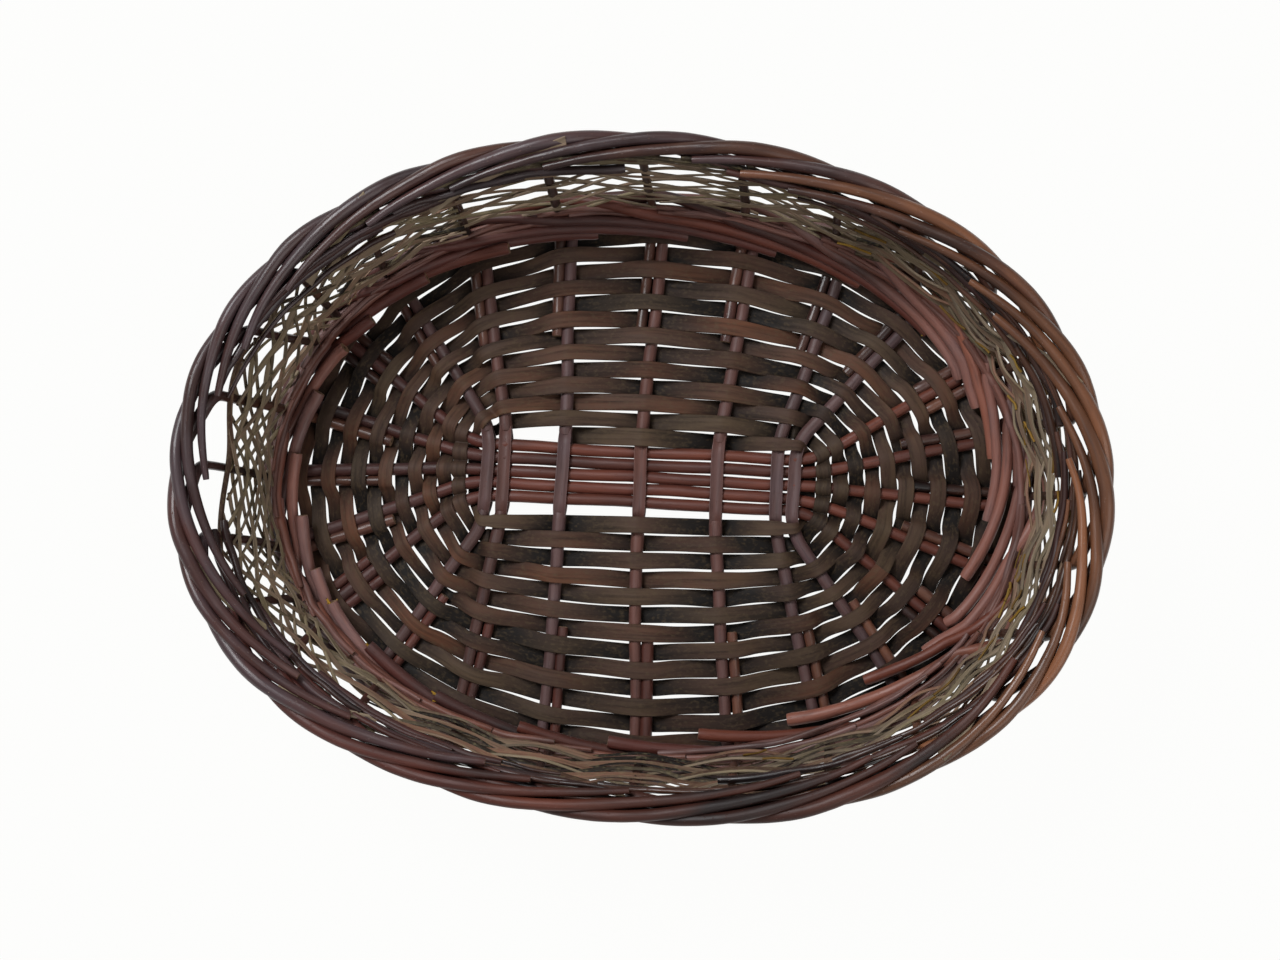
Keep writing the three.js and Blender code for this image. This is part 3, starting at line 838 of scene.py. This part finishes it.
def border_place(stake, run):
    """A border rod runs out past its neighbour, climbs over it and comes back in on top."""
    if run < 1:
        out = BORDER_OUT * smooth(run)
    elif run < 2:
        out = BORDER_OUT + BORDER_SWELL * math.sin(math.pi * (run - 1))
    else:
        out = BORDER_OUT - (STAKE + BORDER_GAP) * (run - 2)
    angle = RIM_START + (stake + run) * STAKE_STEP
    out *= 1 - 0.12 * math.sin(angle) ** 2
    drop = BORDER_DROP * max(0.0, run - 2.4) ** 1.5
    height = BORDER_LEVEL + BORDER_LAYER * smooth(run - 1) - drop
    return wall_place(angle, height, out, BORDER_LEVEL)


def stake_line(order):
    stake = STAKES[order]
    corner = wall_place(stake["foot"], STICK_LEVEL)
    back = stake["start"] - corner
    back[2] = 0
    turn_start = corner + TURN_UP * unit(back)
    stations = [on_base(lerp(stake["start"], turn_start, share)) for share in (0, 0.3, 0.6)]
    low = STICK_LEVEL + TURN_UP
    wall_start = wall_place(stake_angle(order, low), low)
    stations += bend(turn_start, corner, wall_start)
    bend_level = BORDER_LEVEL - BORDER_BEND
    for share in (0.2, 0.4, 0.6, 0.8):
        height = lerp(low, bend_level, share)
        stations.append(wall_place(stake_angle(order, height), height))
    bend_start = wall_place(stake_angle(order, bend_level), bend_level)
    bend_corner = wall_place(RIM_START + order * STAKE_STEP, BORDER_LEVEL)
    stations += bend(bend_start, bend_corner, border_place(order, 0.3))
    end_angle = RIM_START + (order + BORDER_RUN) * STAKE_STEP
    run = BORDER_RUN - 0.6 * near(end_angle, LATTICE_TOP, 38)
    steps = round(run / RUN_STEP) + random.Random(350 + order).choice((-2, -1, 0, 1, 2))
    stations += [border_place(order, step * RUN_STEP) for step in range(2, steps + 1)]
    return wobble(flow(stations), 0.35, 110, 300 + order)


def border_look(points):
    """Tone and warmth: orange-brown at the right, blue-brown at the left, dark at the bottom."""
    angle = np.arctan2(points[:, 1], points[:, 0])
    raised = grade(points[:, 2], 70, 20)
    wall = (1 - raised) * grade(points[:, 2], 10, 8)
    right = np.clip(np.cos(angle + 0.1), 0, 1)
    left = np.clip(-np.cos(angle), 0, 1)
    bottom = near_each(points, 275, 38)
    # shaded is a painted light at the lower left and a painted shade at the lower right.
    shaded = 0.12 * near_each(points, 225, 28) - 0.12 * near_each(points, 300, 25)
    tone = 0.45 + raised * (-0.12 * right + shaded - 0.28 * bottom) - 0.3 * wall
    return tone, 0.42 + raised * (0.36 * right + 0.32 * bottom - 0.34 * left)


def stake_radius(points):
    """Thick at the butt, thinner up the wall, and full again where the border is laid."""
    height = points[:, 2]
    wall = grade(height, 8, 12) * grade(BORDER_LEVEL - height, 0, 10)
    border = grade(height - BORDER_LEVEL, -6, 8)
    tip = 1 - 0.45 * grade(np.linspace(0, 1, len(points)), 0.74, 0.26)
    return (STAKE / 2 + 0.35 * border - wall * (STAKE - WALL_STAKE) / 2) * tip


for order in range(STAKE_COUNT):
    points = stake_line(order)
    size = chance.uniform(0.9, 1.08)
    radius = rounded_ends(points, size * stake_radius(points))
    tone, warm = border_look(points)
    laid = RIM_START + (order + 2) * STAKE_STEP
    facing = 0.5 + 0.5 * math.cos(laid)
    tone += chance.uniform(-0.2, 0.1) + facing * chance.uniform(-0.45, 0.45)
    raised = np.clip((points[:, 2] - 20) / 60, 0.2, 1)
    low = near(laid, 275, 42)
    tone = np.maximum(tone, (0.28 - 0.1 * low) * raised)
    bark = reddish_bark if low > random.Random(380 + order).uniform(0.1, 0.8) else dark_bark
    warm += raised * chance.choice((-0.3, -0.15, 0.0, 0.1, 0.2 * facing))
    name = f"stake_{order + 1:02d}"
    grow_rods(name, [Line(points, radius, tone, warm)], bark, [f"side_{name}"])


# Thin rods that line the border and the foot: a level, and how far inside the wall

LINING_RISE = 2.6
LINING_RADII = (2.3, 1.5)
LININGS = {
    "upper": (85, 3.8),
    "lower": (78, 6.4),
    "under": (84, -5),
    "outer": (86, -1.4),
    "ledge": (88, 1),
    "foot": (15, 0),
    "toe": (18, 2),
    "heel": (19, 4.5),
    "inner": (20, 8.5),
}
FOOT_LININGS_BELOW = 30


def lining_line(first, runs, level, inside, picker):
    stations = []
    for step in range(runs):
        run = step * RUN_STEP
        height = level + LINING_RISE * run + picker.uniform(-0.6, 0.6)
        angle = wall_angle(first + run, height)
        out = picker.uniform(-0.6, 0.6) - inside * (1 - 0.5 * near(angle, CRESCENT, 16))
        stations.append(wall_place(angle, height, out))
    return wobble(flow(stations), 0.3, 60, 430 + runs)


def lining_shows(lining, angle):
    """Some linings leave a place open, and some are only in a few places."""
    crescent = near(angle, CRESCENT, 19)
    rules = {
        "upper": max(crescent, 0.6 * near(angle, 92, 30)) < 0.4,
        "lower": max(crescent, near(angle, 95, 60), near(angle, SHADED, 28)) < 0.45,
        "under": max(near(angle, 118, 45), near(angle, 255, 40)) > 0.3,
        "outer": near(angle, 262, 48) > 0.3,
        "ledge": near(angle, 98, 42) > 0.4,
        "inner": near(angle, 308, 22) > 0.3,
    }
    return rules.get(lining, True)


for lining, (level, inside) in LININGS.items():
    picker = random.Random(level)
    for order in range(STAKE_COUNT):
        first = order + picker.uniform(-0.4, 0.4)
        points = lining_line(first, picker.randint(9, 14), level, inside, picker)
        middle = points[len(points) // 2]
        angle = math.atan2(middle[1], middle[0])
        tone, warm = border_look(points)
        radius = picker.uniform(0.6, 1.25) * taper(points, *LINING_RADII)
        if level < FOOT_LININGS_BELOW:
            tone = np.maximum(tone + picker.uniform(-0.3, 0.1), 0.2) + 0.15
        else:
            tone = np.maximum(tone + picker.uniform(-0.45, 0.05), 0.14)
        warm = warm + picker.uniform(-0.3, 0.1)
        red = picker.random() < 0.25 + 0.35 * near(angle, 300, 60)
        bark = reddish_bark if red else dark_bark
        if level < FOOT_LININGS_BELOW:
            bark = rosy_bark
        if lining == "ledge":
            bark = olive_split
        if lining_shows(lining, angle):
            line = Line(points, rounded_ends(points, radius), tone, warm)
            grow_rods(f"{lining}_lining_{order + 1:02d}", [line], bark, sides=9)


# Flat slips of bark that cross the inner side of the border

SLIPS = [(101, 121), (128, 143), (196, 214), (222, 236), (312, 326), (20, 33)]
SLIP_SHARES = (0.14, 0.12)

for order, (begin, stop) in enumerate(SLIPS):
    picker = random.Random(460 + order)
    width = picker.uniform(6, 9)
    stations = []
    for share in (0, 0.25, 0.5, 0.75, 1):
        angle = math.radians(lerp(begin, stop, share))
        out = lerp(6, -8, share) + picker.uniform(-0.8, 0.8)
        place = wall_place(angle, 0, out, BORDER_LEVEL)
        place[2] = lerp(BASKET_HEIGHT - 1.4, 84, share**1.4)
        across = unit(np.array([math.cos(angle), math.sin(angle), 0.55 + 0.5 * share]))
        stations.append([*place, *across, width * (1 - 0.4 * share), 0])
    line = strip_line(stations, 470 + order, 0.45, 0.35)
    grow_strips(f"bark_slip_{order + 1}", [line], olive_split, SLIP_SHARES)


# Base strips

JOIN_SPOKE = 7
STEP_START = SPOKE_COUNT - 4
LEAD_IN = 2


def row_at(weaver, place):
    turn = math.floor(place / SPOKE_COUNT)
    within = place - turn * SPOKE_COUNT
    return 2 * turn + weaver + 2 * smooth((within - STEP_START) / (SPOKE_COUNT - STEP_START))


def is_over(weaver, place):
    index = JOIN_SPOKE - place
    spoke = SPOKES[index % SPOKE_COUNT]
    first = index % 2 == 0
    if place < SPOKE_COUNT:
        pair = min(spoke["order"], CROSS_COUNT - 1 - spoke["order"]) < 2
        first = not spoke["long"] and (first or pair)
    return first if weaver == 0 else not first


def half_height_at(index, row):
    spoke = SPOKES[index % SPOKE_COUNT]
    inner = np.linalg.norm(row_point(index, row) - spoke["start"]) - BASE_STRIP_WIDTH / 2
    reach = abs(spoke["start"][1] - LONG_SHIFT) + inner - SPLIT_HALF
    plain = max(BASE_STICK, STAKE) / 2
    if spoke["long"]:
        return plain
    plain = max(plain, cross_radius(row / ROW_SPANS))
    return max(lerp(SPLIT_HEIGHT, plain, clamp(reach / SPLIT_TAPER)), plain)


def flat_reach(index, row, side):
    spoke = index % SPOKE_COUNT
    for stake in STAKES:
        if stake["spoke"] == spoke and stake["side"] == side and row > stake["butt"] - 0.75:
            return BUTT_OFFSET + 0.4 * STAKE
    return BASE_STICK / 2 + CLEARANCE if row < 0.5 else 0.4 * BASE_STICK


def weaving_direction(weaver, place):
    index = JOIN_SPOKE - place
    if row_at(weaver, place) < 0.5:
        square = SPOKES[index % SPOKE_COUNT]["turn"] * FULL_TURN / 4
        return flat(math.sin(square), -math.cos(square))
    before = row_point(index + 1, row_at(weaver, place - 1))
    return unit(row_point(index - 1, row_at(weaver, place + 1)) - before)


def base_station(middle, out, width, height):
    edges = []
    for edge in (1, -1):
        point = middle + edge * width / 2 * out
        point[2] = base_level(point[0], point[1]) + height
        edges.append(point)
    centre = (edges[0] + edges[1]) / 2
    # The change of tone is painted light where the strip arches over a stick and painted shade where it
    # dives under one.
    return [*centre, *unit(edges[0] - edges[1]), width, 0.085 * height]


def base_strip_stations(weaver, first, last, lap):
    picker = random.Random(500 + weaver + first)
    stations = []
    for place in range(first, last + 1):
        index = JOIN_SPOKE - place
        row = row_at(weaver, place)
        along = weaving_direction(weaver, place)
        out = flat(-along[1], along[0])
        row_step = np.dot(row_point(index, row + 0.5) - row_point(index, row - 0.5), out)
        width = min(BASE_STRIP_WIDTH, row_step - ROW_GAP) * picker.uniform(0.98, 1.12)
        width *= 1 + 0.06 * near(index * SPOKE_STEP, 155, 45)
        lift = half_height_at(index, row) + CLEARANCE + BASE_STRIP_THICKNESS / 2
        height = lift if is_over(weaver, place) else -lift
        if place - first < lap:
            height += BASE_STRIP_THICKNESS * 1.1
        nudge = picker.uniform(-0.5, 0.5) * out if row >= 1 else 0 * out
        for side in (1, -1):
            middle = row_point(index, row) - side * flat_reach(index, row, side) * along
            stations.append(base_station(middle + nudge, out, width, height))
            # The outermost rows, under the upsett rods, get a painted shade.
            stations[-1][7] -= 0.3 * smooth((row - 10) / 2)
        if 0.5 < row and place < last:
            following = row_at(weaver, place + 1)
            middle = (row_point(index, row) + row_point(index - 1, following)) / 2
            middle = middle + picker.uniform(-0.7, 0.7) * out
            stations.append(base_station(middle, out, width * picker.uniform(0.86, 1.04), 0))
        turns = SPOKES[index % SPOKE_COUNT]["turn"] != SPOKES[(index - 1) % SPOKE_COUNT]["turn"]
        if row < 0.5 and place < last and turns:
            turned = unit(along + weaving_direction(weaver, place + 1))
            outwards = flat(-turned[1], turned[0])
            middle = (row_point(index, row) + row_point(index - 1, row)) / 2
            middle = middle + outwards * CORNER_FOLD / 2
            stations.append(base_station(middle, outwards, CORNER_FOLD, 0))
    return stations


LAST_TURN = SPOKE_COUNT * ROW_SPANS // 2
WEAVER_PLACES = [
    (0, LAST_TURN + STEP_START + 1),
    (-LEAD_IN, LAST_TURN - SPOKE_COUNT + STEP_START + LEAD_IN + 1),
]
STRIP_CROWN = 0.03
BASE_STRIP_SHARES = (BASE_STRIP_THICKNESS / BASE_STRIP_WIDTH, STRIP_CROWN)

for weaver, (first, last) in enumerate(WEAVER_PLACES):
    join = round((first + last) / 2)
    for part, (begin, stop) in enumerate(((first, join), (join - 1, last))):
        stations = base_strip_stations(weaver, begin, stop, 2 * part)
        line = strip_line(stations, 600 + 2 * weaver + part, 0.34, 0.4)
        # Darker towards the left end. Lighter at the upper left, a painted light over the shadow that
        # the wall casts there, and darker at the lower right.
        line.tone -= 0.12 * grade(-line.points[:, 0], 30, 100)
        line.tone += 0.22 * near_each(line.points, 140, 35) - 0.1 * near_each(line.points, 320, 30)
        name = f"{'ab'[weaver]}{part + 1}"
        nodes = [f"base_strip_{name}"]
        grow_strips(f"base_weave_{name}", [line], dark_split, BASE_STRIP_SHARES, nodes)


# Upsett rods

UPSETT_LEVEL = STICK_LEVEL + 7.8
UPSETT_RISE = 5.2
UPSETT_INSIDE = 2
UPSETT_OUTSIDE = 3
UPSETT_END = 3.3
UPSETT_STEP = 0.2
UPSETT_DIVE = 4.3
UPSETT_LAP = 5.4
UPSETT_LAP_RIGHT = 6.5
UPSETT_RADII = (3.3, 2.2)
LEAN = math.cos(math.atan2(RIM[0] - FOOT[0], BORDER_LEVEL - STICK_LEVEL))
BESIDE = (WALL_STAKE / 2 + UPSETT_ROD / 2) / LEAN
SPLINTERED = (33, 104, 207, 231, 292)


def upsett_line(rod):
    """In from its cut end, between two stakes, round two more outside, and in again below."""
    stations = []
    middle = stake_angle(rod, UPSETT_LEVEL)
    fanned = near(middle, 345, 62) + near(middle, 82, 36) > 0.5
    inside = UPSETT_INSIDE if fanned else 1
    lap = UPSETT_LAP + UPSETT_LAP_RIGHT * near(middle, 340, 50)
    lap *= random.Random(740 + rod).uniform(0.75, 1.25)
    for step in range(-2, round((inside + UPSETT_END) / UPSETT_STEP) + 1):
        run = step * UPSETT_STEP
        climb = min(run, inside + 0.5) - max(0.0, run - inside - 0.5)
        rise = UPSETT_RISE * climb if fanned else UPSETT_DIVE * (1.5 - min(run, 1.5))
        height = UPSETT_LEVEL + rise
        crossing = min(run - inside, inside + UPSETT_OUTSIDE - run) - 0.5
        out = BESIDE * clamp(crossing / 0.4, -1, 1)
        out -= lap * max(0.0, 1 - run / (inside + 0.2))
        stations.append(wall_place(wall_angle(rod + run, height), height, out))
    return wobble(flow(stations), 0.2, 120, 700 + rod)


def splinter_lines(points, picker):
    """Yellow fibres that stand out of a torn cut end."""
    back = unit(points[0] - points[4])
    lines = []
    for _ in range(6):
        spread = np.array([picker.uniform(-1.2, 1.2) for _ in range(3)])
        length = picker.uniform(2, 4.5)
        start = points[2] + 1.3 * spread
        stations = [start, start + 0.5 * length * back, start + length * back + 0.7 * spread]
        lines.append(Line(flow(stations, 0.8), picker.uniform(0.3, 0.6), 0.9, 0.5))
    return lines


for rod in range(STAKE_COUNT):
    points = upsett_line(rod)
    direction = math.atan2(points[0][1], points[0][0])
    size = chance.uniform(0.94, 1.08) - 0.1 * near(direction, 350, 50)
    radius = rounded_ends(points, size * taper(points, *UPSETT_RADII))
    right = 0.5 + 0.5 * math.cos(direction + 0.2)
    left = near(direction, 190, 50)
    # A painted highlight on the rods at the right and at the top, and darker at the left.
    painted_light = 0.35 * right + 0.45 * near(direction, 95, 40) - 0.12 * left
    along = np.arange(len(points)) * WALK
    tone = chance.uniform(0.45, 0.9) + painted_light - 0.5 * grade(along, 0, 90) ** 1.5
    warm = chance.uniform(0.0, 0.7) + 0.15 * right - 0.4 * left
    rosy = 0.15 + 0.8 * near(direction, 350, 60) + 0.85 * near(direction, 190, 40) > chance.random()
    bark = rosy_bark if rosy else reddish_bark
    nodes = [f"upsett_rod_{rod // 2 + 1:02d}"] if rod % 2 == 0 else []
    grow_rods(f"upsett_{rod + 1:02d}", [Line(points, radius, tone, warm)], bark, nodes)
    if any(near(direction, place, 7) > 0.37 for place in SPLINTERED):
        lines = splinter_lines(points, random.Random(780 + rod))
        name = f"splinters_{rod + 1:02d}"
        grow_rods(name, lines, yellow_split, sides=5, relief=FINE_RELIEF)


# Side strips

SIDE_LOW = 27.2
SIDE_HIGH = BORDER_LEVEL - BORDER_BEND + 4 * ROW_GAP - SIDE_STRIP_WIDTH / 2
SIDE_SPANS = int((SIDE_HIGH - SIDE_LOW) / (SIDE_STRIP_WIDTH + ROW_GAP))
SIDE_PITCH = (SIDE_HIGH - SIDE_LOW) / SIDE_SPANS
SIDE_STRIP_SHARES = (SIDE_STRIP_THICKNESS / SIDE_STRIP_WIDTH, STRIP_CROWN)
HALF_TURN = STAKE_COUNT // 2
HALF_UP = BASKET_HEIGHT / 2


def sag(angle, height):
    """How far the side hangs below its place, away from the border, at the crescent."""
    return 0.24 * near(angle, CRESCENT, 17) * (height - SIDE_LOW)


def lean(angle, height):
    """How far the side leans in at the crescent."""
    return 0.08 * near(angle, CRESCENT, 17) * max(0.0, height - SIDE_LOW)


def side_station(place, height, out, roll, width):
    """A point of a side strip, turned by roll so that its upper edge leans out."""
    angle = wall_angle(place, height)
    up = unit(wall_place(angle, height + 1) - wall_place(angle, height - 1))
    normal = oval_normal(angle, *wall_axes(height))
    through = unit(normal - np.dot(normal, up) * up)
    across = math.cos(roll) * up + math.sin(roll) * through
    place = wall_place(angle, height, out / np.dot(through, normal) - lean(angle, height))
    # The change of tone is a painted shade where the strip passes outside a stake and a painted light
    # where it passes inside.
    return [*place, *across, width, -0.02 * out]


def side_strip_stations(weaver, picker):
    half = WALL_STAKE / 2 + CLEARANCE + SIDE_STRIP_THICKNESS / 2
    stations = []
    roll = 0.0
    for place in range(SIDE_SPANS * HALF_TURN + 1):
        order = place + weaver * HALF_TURN
        sign = -1 if (order + weaver) % 2 == 0 else 1
        height = SIDE_LOW + SIDE_PITCH * place / HALF_TURN
        angle = wall_angle(order, height)
        loose = max(near(angle, LATTICE_LEFT, 50), 1.2 * near(angle, LATTICE_TOP, 40))
        loose = max(loose, 0.75 * near(angle, 310, 85))
        height -= sag(angle, height) + picker.uniform(-0.5, 0.5)
        width = SIDE_STRIP_WIDTH * picker.uniform(0.7, 1.05) * (1 - 0.52 * loose)
        tight = picker.uniform(0.5, 1.0) if picker.random() < 0.3 else picker.uniform(0.0, 0.5)
        roll = lerp(roll, lerp(tight, picker.uniform(0.0, 0.3), loose), 0.75)
        stations.append(side_station(order, height, sign * half, roll * 0.25, width))
        height += SIDE_PITCH / HALF_TURN / 2 + picker.uniform(-0.7, 0.7)
        stations.append(side_station(order + 0.5, height, 0, roll, width * 0.92))
    return stations[:-1]


for weaver, letter in enumerate("ab"):
    line = strip_line(side_strip_stations(weaver, random.Random(800 + weaver)), 820 + weaver, 0.78, 0.4)
    points = line.points
    # Lighter at the right, at the top and at the left; a painted shade, made warmer too, where the side
    # hangs in the shade.
    low = near_each(points, SHADED, 45)
    line.tone += 0.28 * near_each(points, 8, 45) + 0.25 * near_each(points, 92, 40) - 0.35 * low
    line.tone += 0.15 * near_each(points, LATTICE_LEFT, 50)
    line.warm += 0.5 * low
    nodes = [f"side_strip_{letter}"]
    grow_strips(f"side_weave_{letter}", [line], olive_split, SIDE_STRIP_SHARES, nodes)


# Thin strands on the other face of the stakes than the strip beside them

STRANDS = [(0, 2.8), (1, -2.2), (0, -3.4)]
STRAND_OUT = 3.8


def fine_lines(weaver, lift, picker):
    runs = [[]]
    for place in range(SIDE_SPANS * HALF_TURN + 1):
        order = place + weaver * HALF_TURN
        sign = 1 if (order + weaver) % 2 == 0 else -1
        angle = stake_angle(order, HALF_UP)
        if max(near(angle, LATTICE_LEFT, 48), near(angle, LATTICE_TOP, 30)) > 0.4:
            runs.append([])
            continue
        for step in (0, 0.25, 0.5, 0.75):
            height = SIDE_LOW + SIDE_PITCH * (place + step) / HALF_TURN + lift
            height += picker.uniform(-1.0, 1.0)
            angle = wall_angle(order + step, height)
            out = STRAND_OUT * sign * math.cos(math.pi * step) + picker.uniform(-0.9, 0.9)
            runs[-1].append(wall_place(angle, height, out))
    lines = []
    for stations in runs:
        if len(stations) > 3:
            thickness = picker.uniform(0.5, 1.0)
            points = flow(stations)
            tone = picker.choice((0.0, 0.1, 0.3, 0.6, 0.9))
            # Lighter at the right, and a painted shade where the side hangs in the shade.
            tone = tone + 0.3 * near_each(points, 5, 75) - 0.25 * near_each(points, SHADED, 40)
            lines.append(Line(points, thickness, tone, picker.uniform(0.0, 1.0)))
    return lines


for order, (weaver, lift) in enumerate(STRANDS):
    lines = fine_lines(weaver, lift, random.Random(860 + order))
    name = f"side_strands_{order + 1}"
    grow_rods(name, lines, olive_split, sides=6, relief=0.15)


# Short fibres split off the strips, most of them at the right end


def fibre_line(picker):
    middle = picker.gauss(5, 38)
    span = picker.uniform(3, 7)
    level = picker.uniform(SIDE_LOW + 4, SIDE_HIGH + 4)
    climb = picker.uniform(-6, 6)
    out = picker.choice((-4.2, -3.2))
    stations = []
    for share in (-0.5, -0.2, 0.2, 0.5):
        angle = math.radians(middle + share * span)
        stations.append(wall_place(angle, level + share * climb, out + picker.uniform(-1.0, 1.0)))
    tone = picker.uniform(0.0, 0.32)
    return Line(flow(stations), picker.uniform(0.4, 0.8), tone, picker.uniform(0.0, 1.0))


picker = random.Random(890)
lines = [fibre_line(picker) for _ in range(32)]
grow_rods("side_fibres", lines, yellow_split, sides=5, relief=FINE_RELIEF)


# The open lattice of the side at the left and at the top

LATTICE_STEP = 0.38
LATTICE_STEPS = 12
LATTICE_OUT = 2.0


def lattice_lines(slant, picker):
    """Thin strands that climb the wall aslant, in front of one stake and behind the next."""
    lines = []
    for strand in range(round(STAKE_COUNT / LATTICE_STEP)):
        first = strand * LATTICE_STEP + picker.uniform(-0.03, 0.03)
        angle = wall_angle(first, HALF_UP)
        top_share = near(angle, LATTICE_TOP, 38)
        shown = max(near(angle, LATTICE_LEFT, 45), top_share) >= 0.4
        if not shown or (top_share > 0.5 and strand % 2):
            continue
        run = slant * (lerp(1.7, 3.6, top_share) + picker.uniform(-0.15, 0.15))
        highest = SIDE_HIGH + 2 + 7 * top_share
        stations = []
        for step in range(LATTICE_STEPS + 1):
            share = step / LATTICE_STEPS
            place = first + run * (share - 0.5)
            height = lerp(SIDE_LOW - 5, highest, share) + picker.uniform(-0.5, 0.5)
            angle = wall_angle(place, height)
            out = slant * LATTICE_OUT * math.cos(math.pi * place) - lean(angle, height)
            height -= sag(angle, height)
            stations.append(wall_place(angle, height, out))
        # Lighter at the top, and a painted shade at the upper left.
        tone = 0.57 + 0.25 * top_share - 0.2 * near(angle, 138, 22) + picker.uniform(-0.3, 0.3)
        radius = picker.uniform(0.7, 1.05)
        lines.append(Line(flow(stations, 2.2), radius, tone, picker.uniform(0.0, 0.5)))
    return lines


def crescent_edge():
    """The thin rod that the side hangs from where it has left the border."""
    stations = []
    for step in range(25):
        angle = math.radians(145 + 3 * step)
        height = SIDE_HIGH + 3 - sag(angle, SIDE_HIGH + 2)
        out = 1.2 + 0.4 * math.sin(step) - lean(angle, SIDE_HIGH)
        stations.append(wall_place(angle, height, out))
    points = flow(stations, 2)
    return Line(points, taper(points, 1.7, 1.3), 0.4, 0.8)


for slant, letter in ((1, "a"), (-1, "b")):
    lines = lattice_lines(slant, random.Random(900 + slant))
    if letter == "a":
        lines.append(crescent_edge())
    grow_rods(f"side_lattice_{letter}", lines, olive_split, sides=6, relief=FINE_RELIEF)


# Stage: a pale floor that shows white, soft light, and the camera above the basket

FLOOR_REACH = 4.0
FLOOR_LEVEL = -0.5 * MM
LAMP_AIM = (0, 0, 0.05)
CAMERA_HEIGHT = 1180
CAMERA_RIGHT = 84
CAMERA_DOWN = 63
CAMERA_ROLL = math.radians(3)
SENSOR_WIDTH = 36
VIEW_WIDTH_AT_RIM = 602.7
AIM_HEIGHT = 97
AIM_RIGHT = 2.4
AIM_DOWN = 1.2


def seen_rays(nodes):
    """Whether a ray comes from the camera, a glossy surface or a clear one."""
    return nodes.add("ShaderNodeLightPath", out=(0, 3, 6))


def make_floor():
    mesh = bpy.data.meshes.new("floor")
    signs = ((-1, -1), (1, -1), (1, 1), (-1, 1))
    corners = [(x * FLOOR_REACH, y * FLOOR_REACH, FLOOR_LEVEL) for x, y in signs]
    mesh.from_pydata(corners, [], [(0, 1, 2, 3)])
    floor = new_object("floor", mesh)
    material, nodes = new_finish("pale floor")
    camera, glossy, clear = seen_rays(nodes)
    direct = camera.math("MAXIMUM", glossy).math("MAXIMUM", clear)
    matt = nodes.add("ShaderNodeBsdfDiffuse", {"Color": (0.45, 0.45, 0.44, 1)})
    white = nodes.add("ShaderNodeEmission", {"Color": (1, 1, 0.99, 1), "Strength": 1.0})
    surface = nodes.add("ShaderNodeMixShader", {0: direct * 0.97, 1: matt, 2: white})
    nodes.add("ShaderNodeOutputMaterial", {"Surface": surface})
    mesh.materials.append(material)


def make_world():
    world = bpy.data.worlds.new("studio")
    world.use_nodes = True
    bpy.context.scene.world = world
    world.node_tree.nodes.clear()
    nodes = Nodes(world.node_tree)
    camera, glossy, clear = seen_rays(nodes)
    strength = 0.09 + 0.91 * camera.math("MAXIMUM", clear) + 0.3 * glossy
    values = {"Color": (1, 1, 1, 1), "Strength": strength}
    light = nodes.add("ShaderNodeBackground", values)
    nodes.add("ShaderNodeOutputWorld", {"Surface": light})


def make_lamp(name, place, size, power, colour):
    data = bpy.data.lights.new(name, "AREA")
    data.shape = "DISK"
    data.size = size
    data.energy = power
    data.color = colour
    lamp = new_object(name, data)
    lamp.location = place
    lamp.rotation_euler = (Vector(LAMP_AIM) - Vector(place)).to_track_quat("-Z", "Y").to_euler()


def make_camera():
    """Almost straight above the basket, which lies a little turned in the picture."""
    right = flat(math.cos(CAMERA_ROLL), math.sin(CAMERA_ROLL))
    down = flat(math.sin(CAMERA_ROLL), -math.cos(CAMERA_ROLL))
    place = CAMERA_RIGHT * right + CAMERA_DOWN * down + np.array([0, 0, CAMERA_HEIGHT])
    aim = AIM_RIGHT * right + AIM_DOWN * down + np.array([0, 0, AIM_HEIGHT])
    forward = unit(aim - place)
    side = unit(right - np.dot(right, forward) * forward)
    up = np.cross(side, forward)
    data = bpy.data.cameras.new("camera")
    data.sensor_width = SENSOR_WIDTH
    data.lens = SENSOR_WIDTH * np.linalg.norm(aim - place) / VIEW_WIDTH_AT_RIM
    data.clip_start = 0.05
    data.clip_end = 30
    camera = new_object("camera", data)
    turn = Matrix([side, up, -forward]).transposed().to_4x4()
    camera.matrix_world = Matrix.Translation(Vector(place * MM)) @ turn
    bpy.context.scene.camera = camera


make_floor()
make_world()
make_lamp("key lamp", (-0.9, 0.9, 1.9), 1.0, 41, (0.96, 0.98, 1.0))
make_lamp("fill lamp", (1.2, -0.9, 1.6), 2.0, 17, (1.0, 0.98, 0.95))
make_camera()
bpy.context.scene.view_settings.view_transform = "Standard"
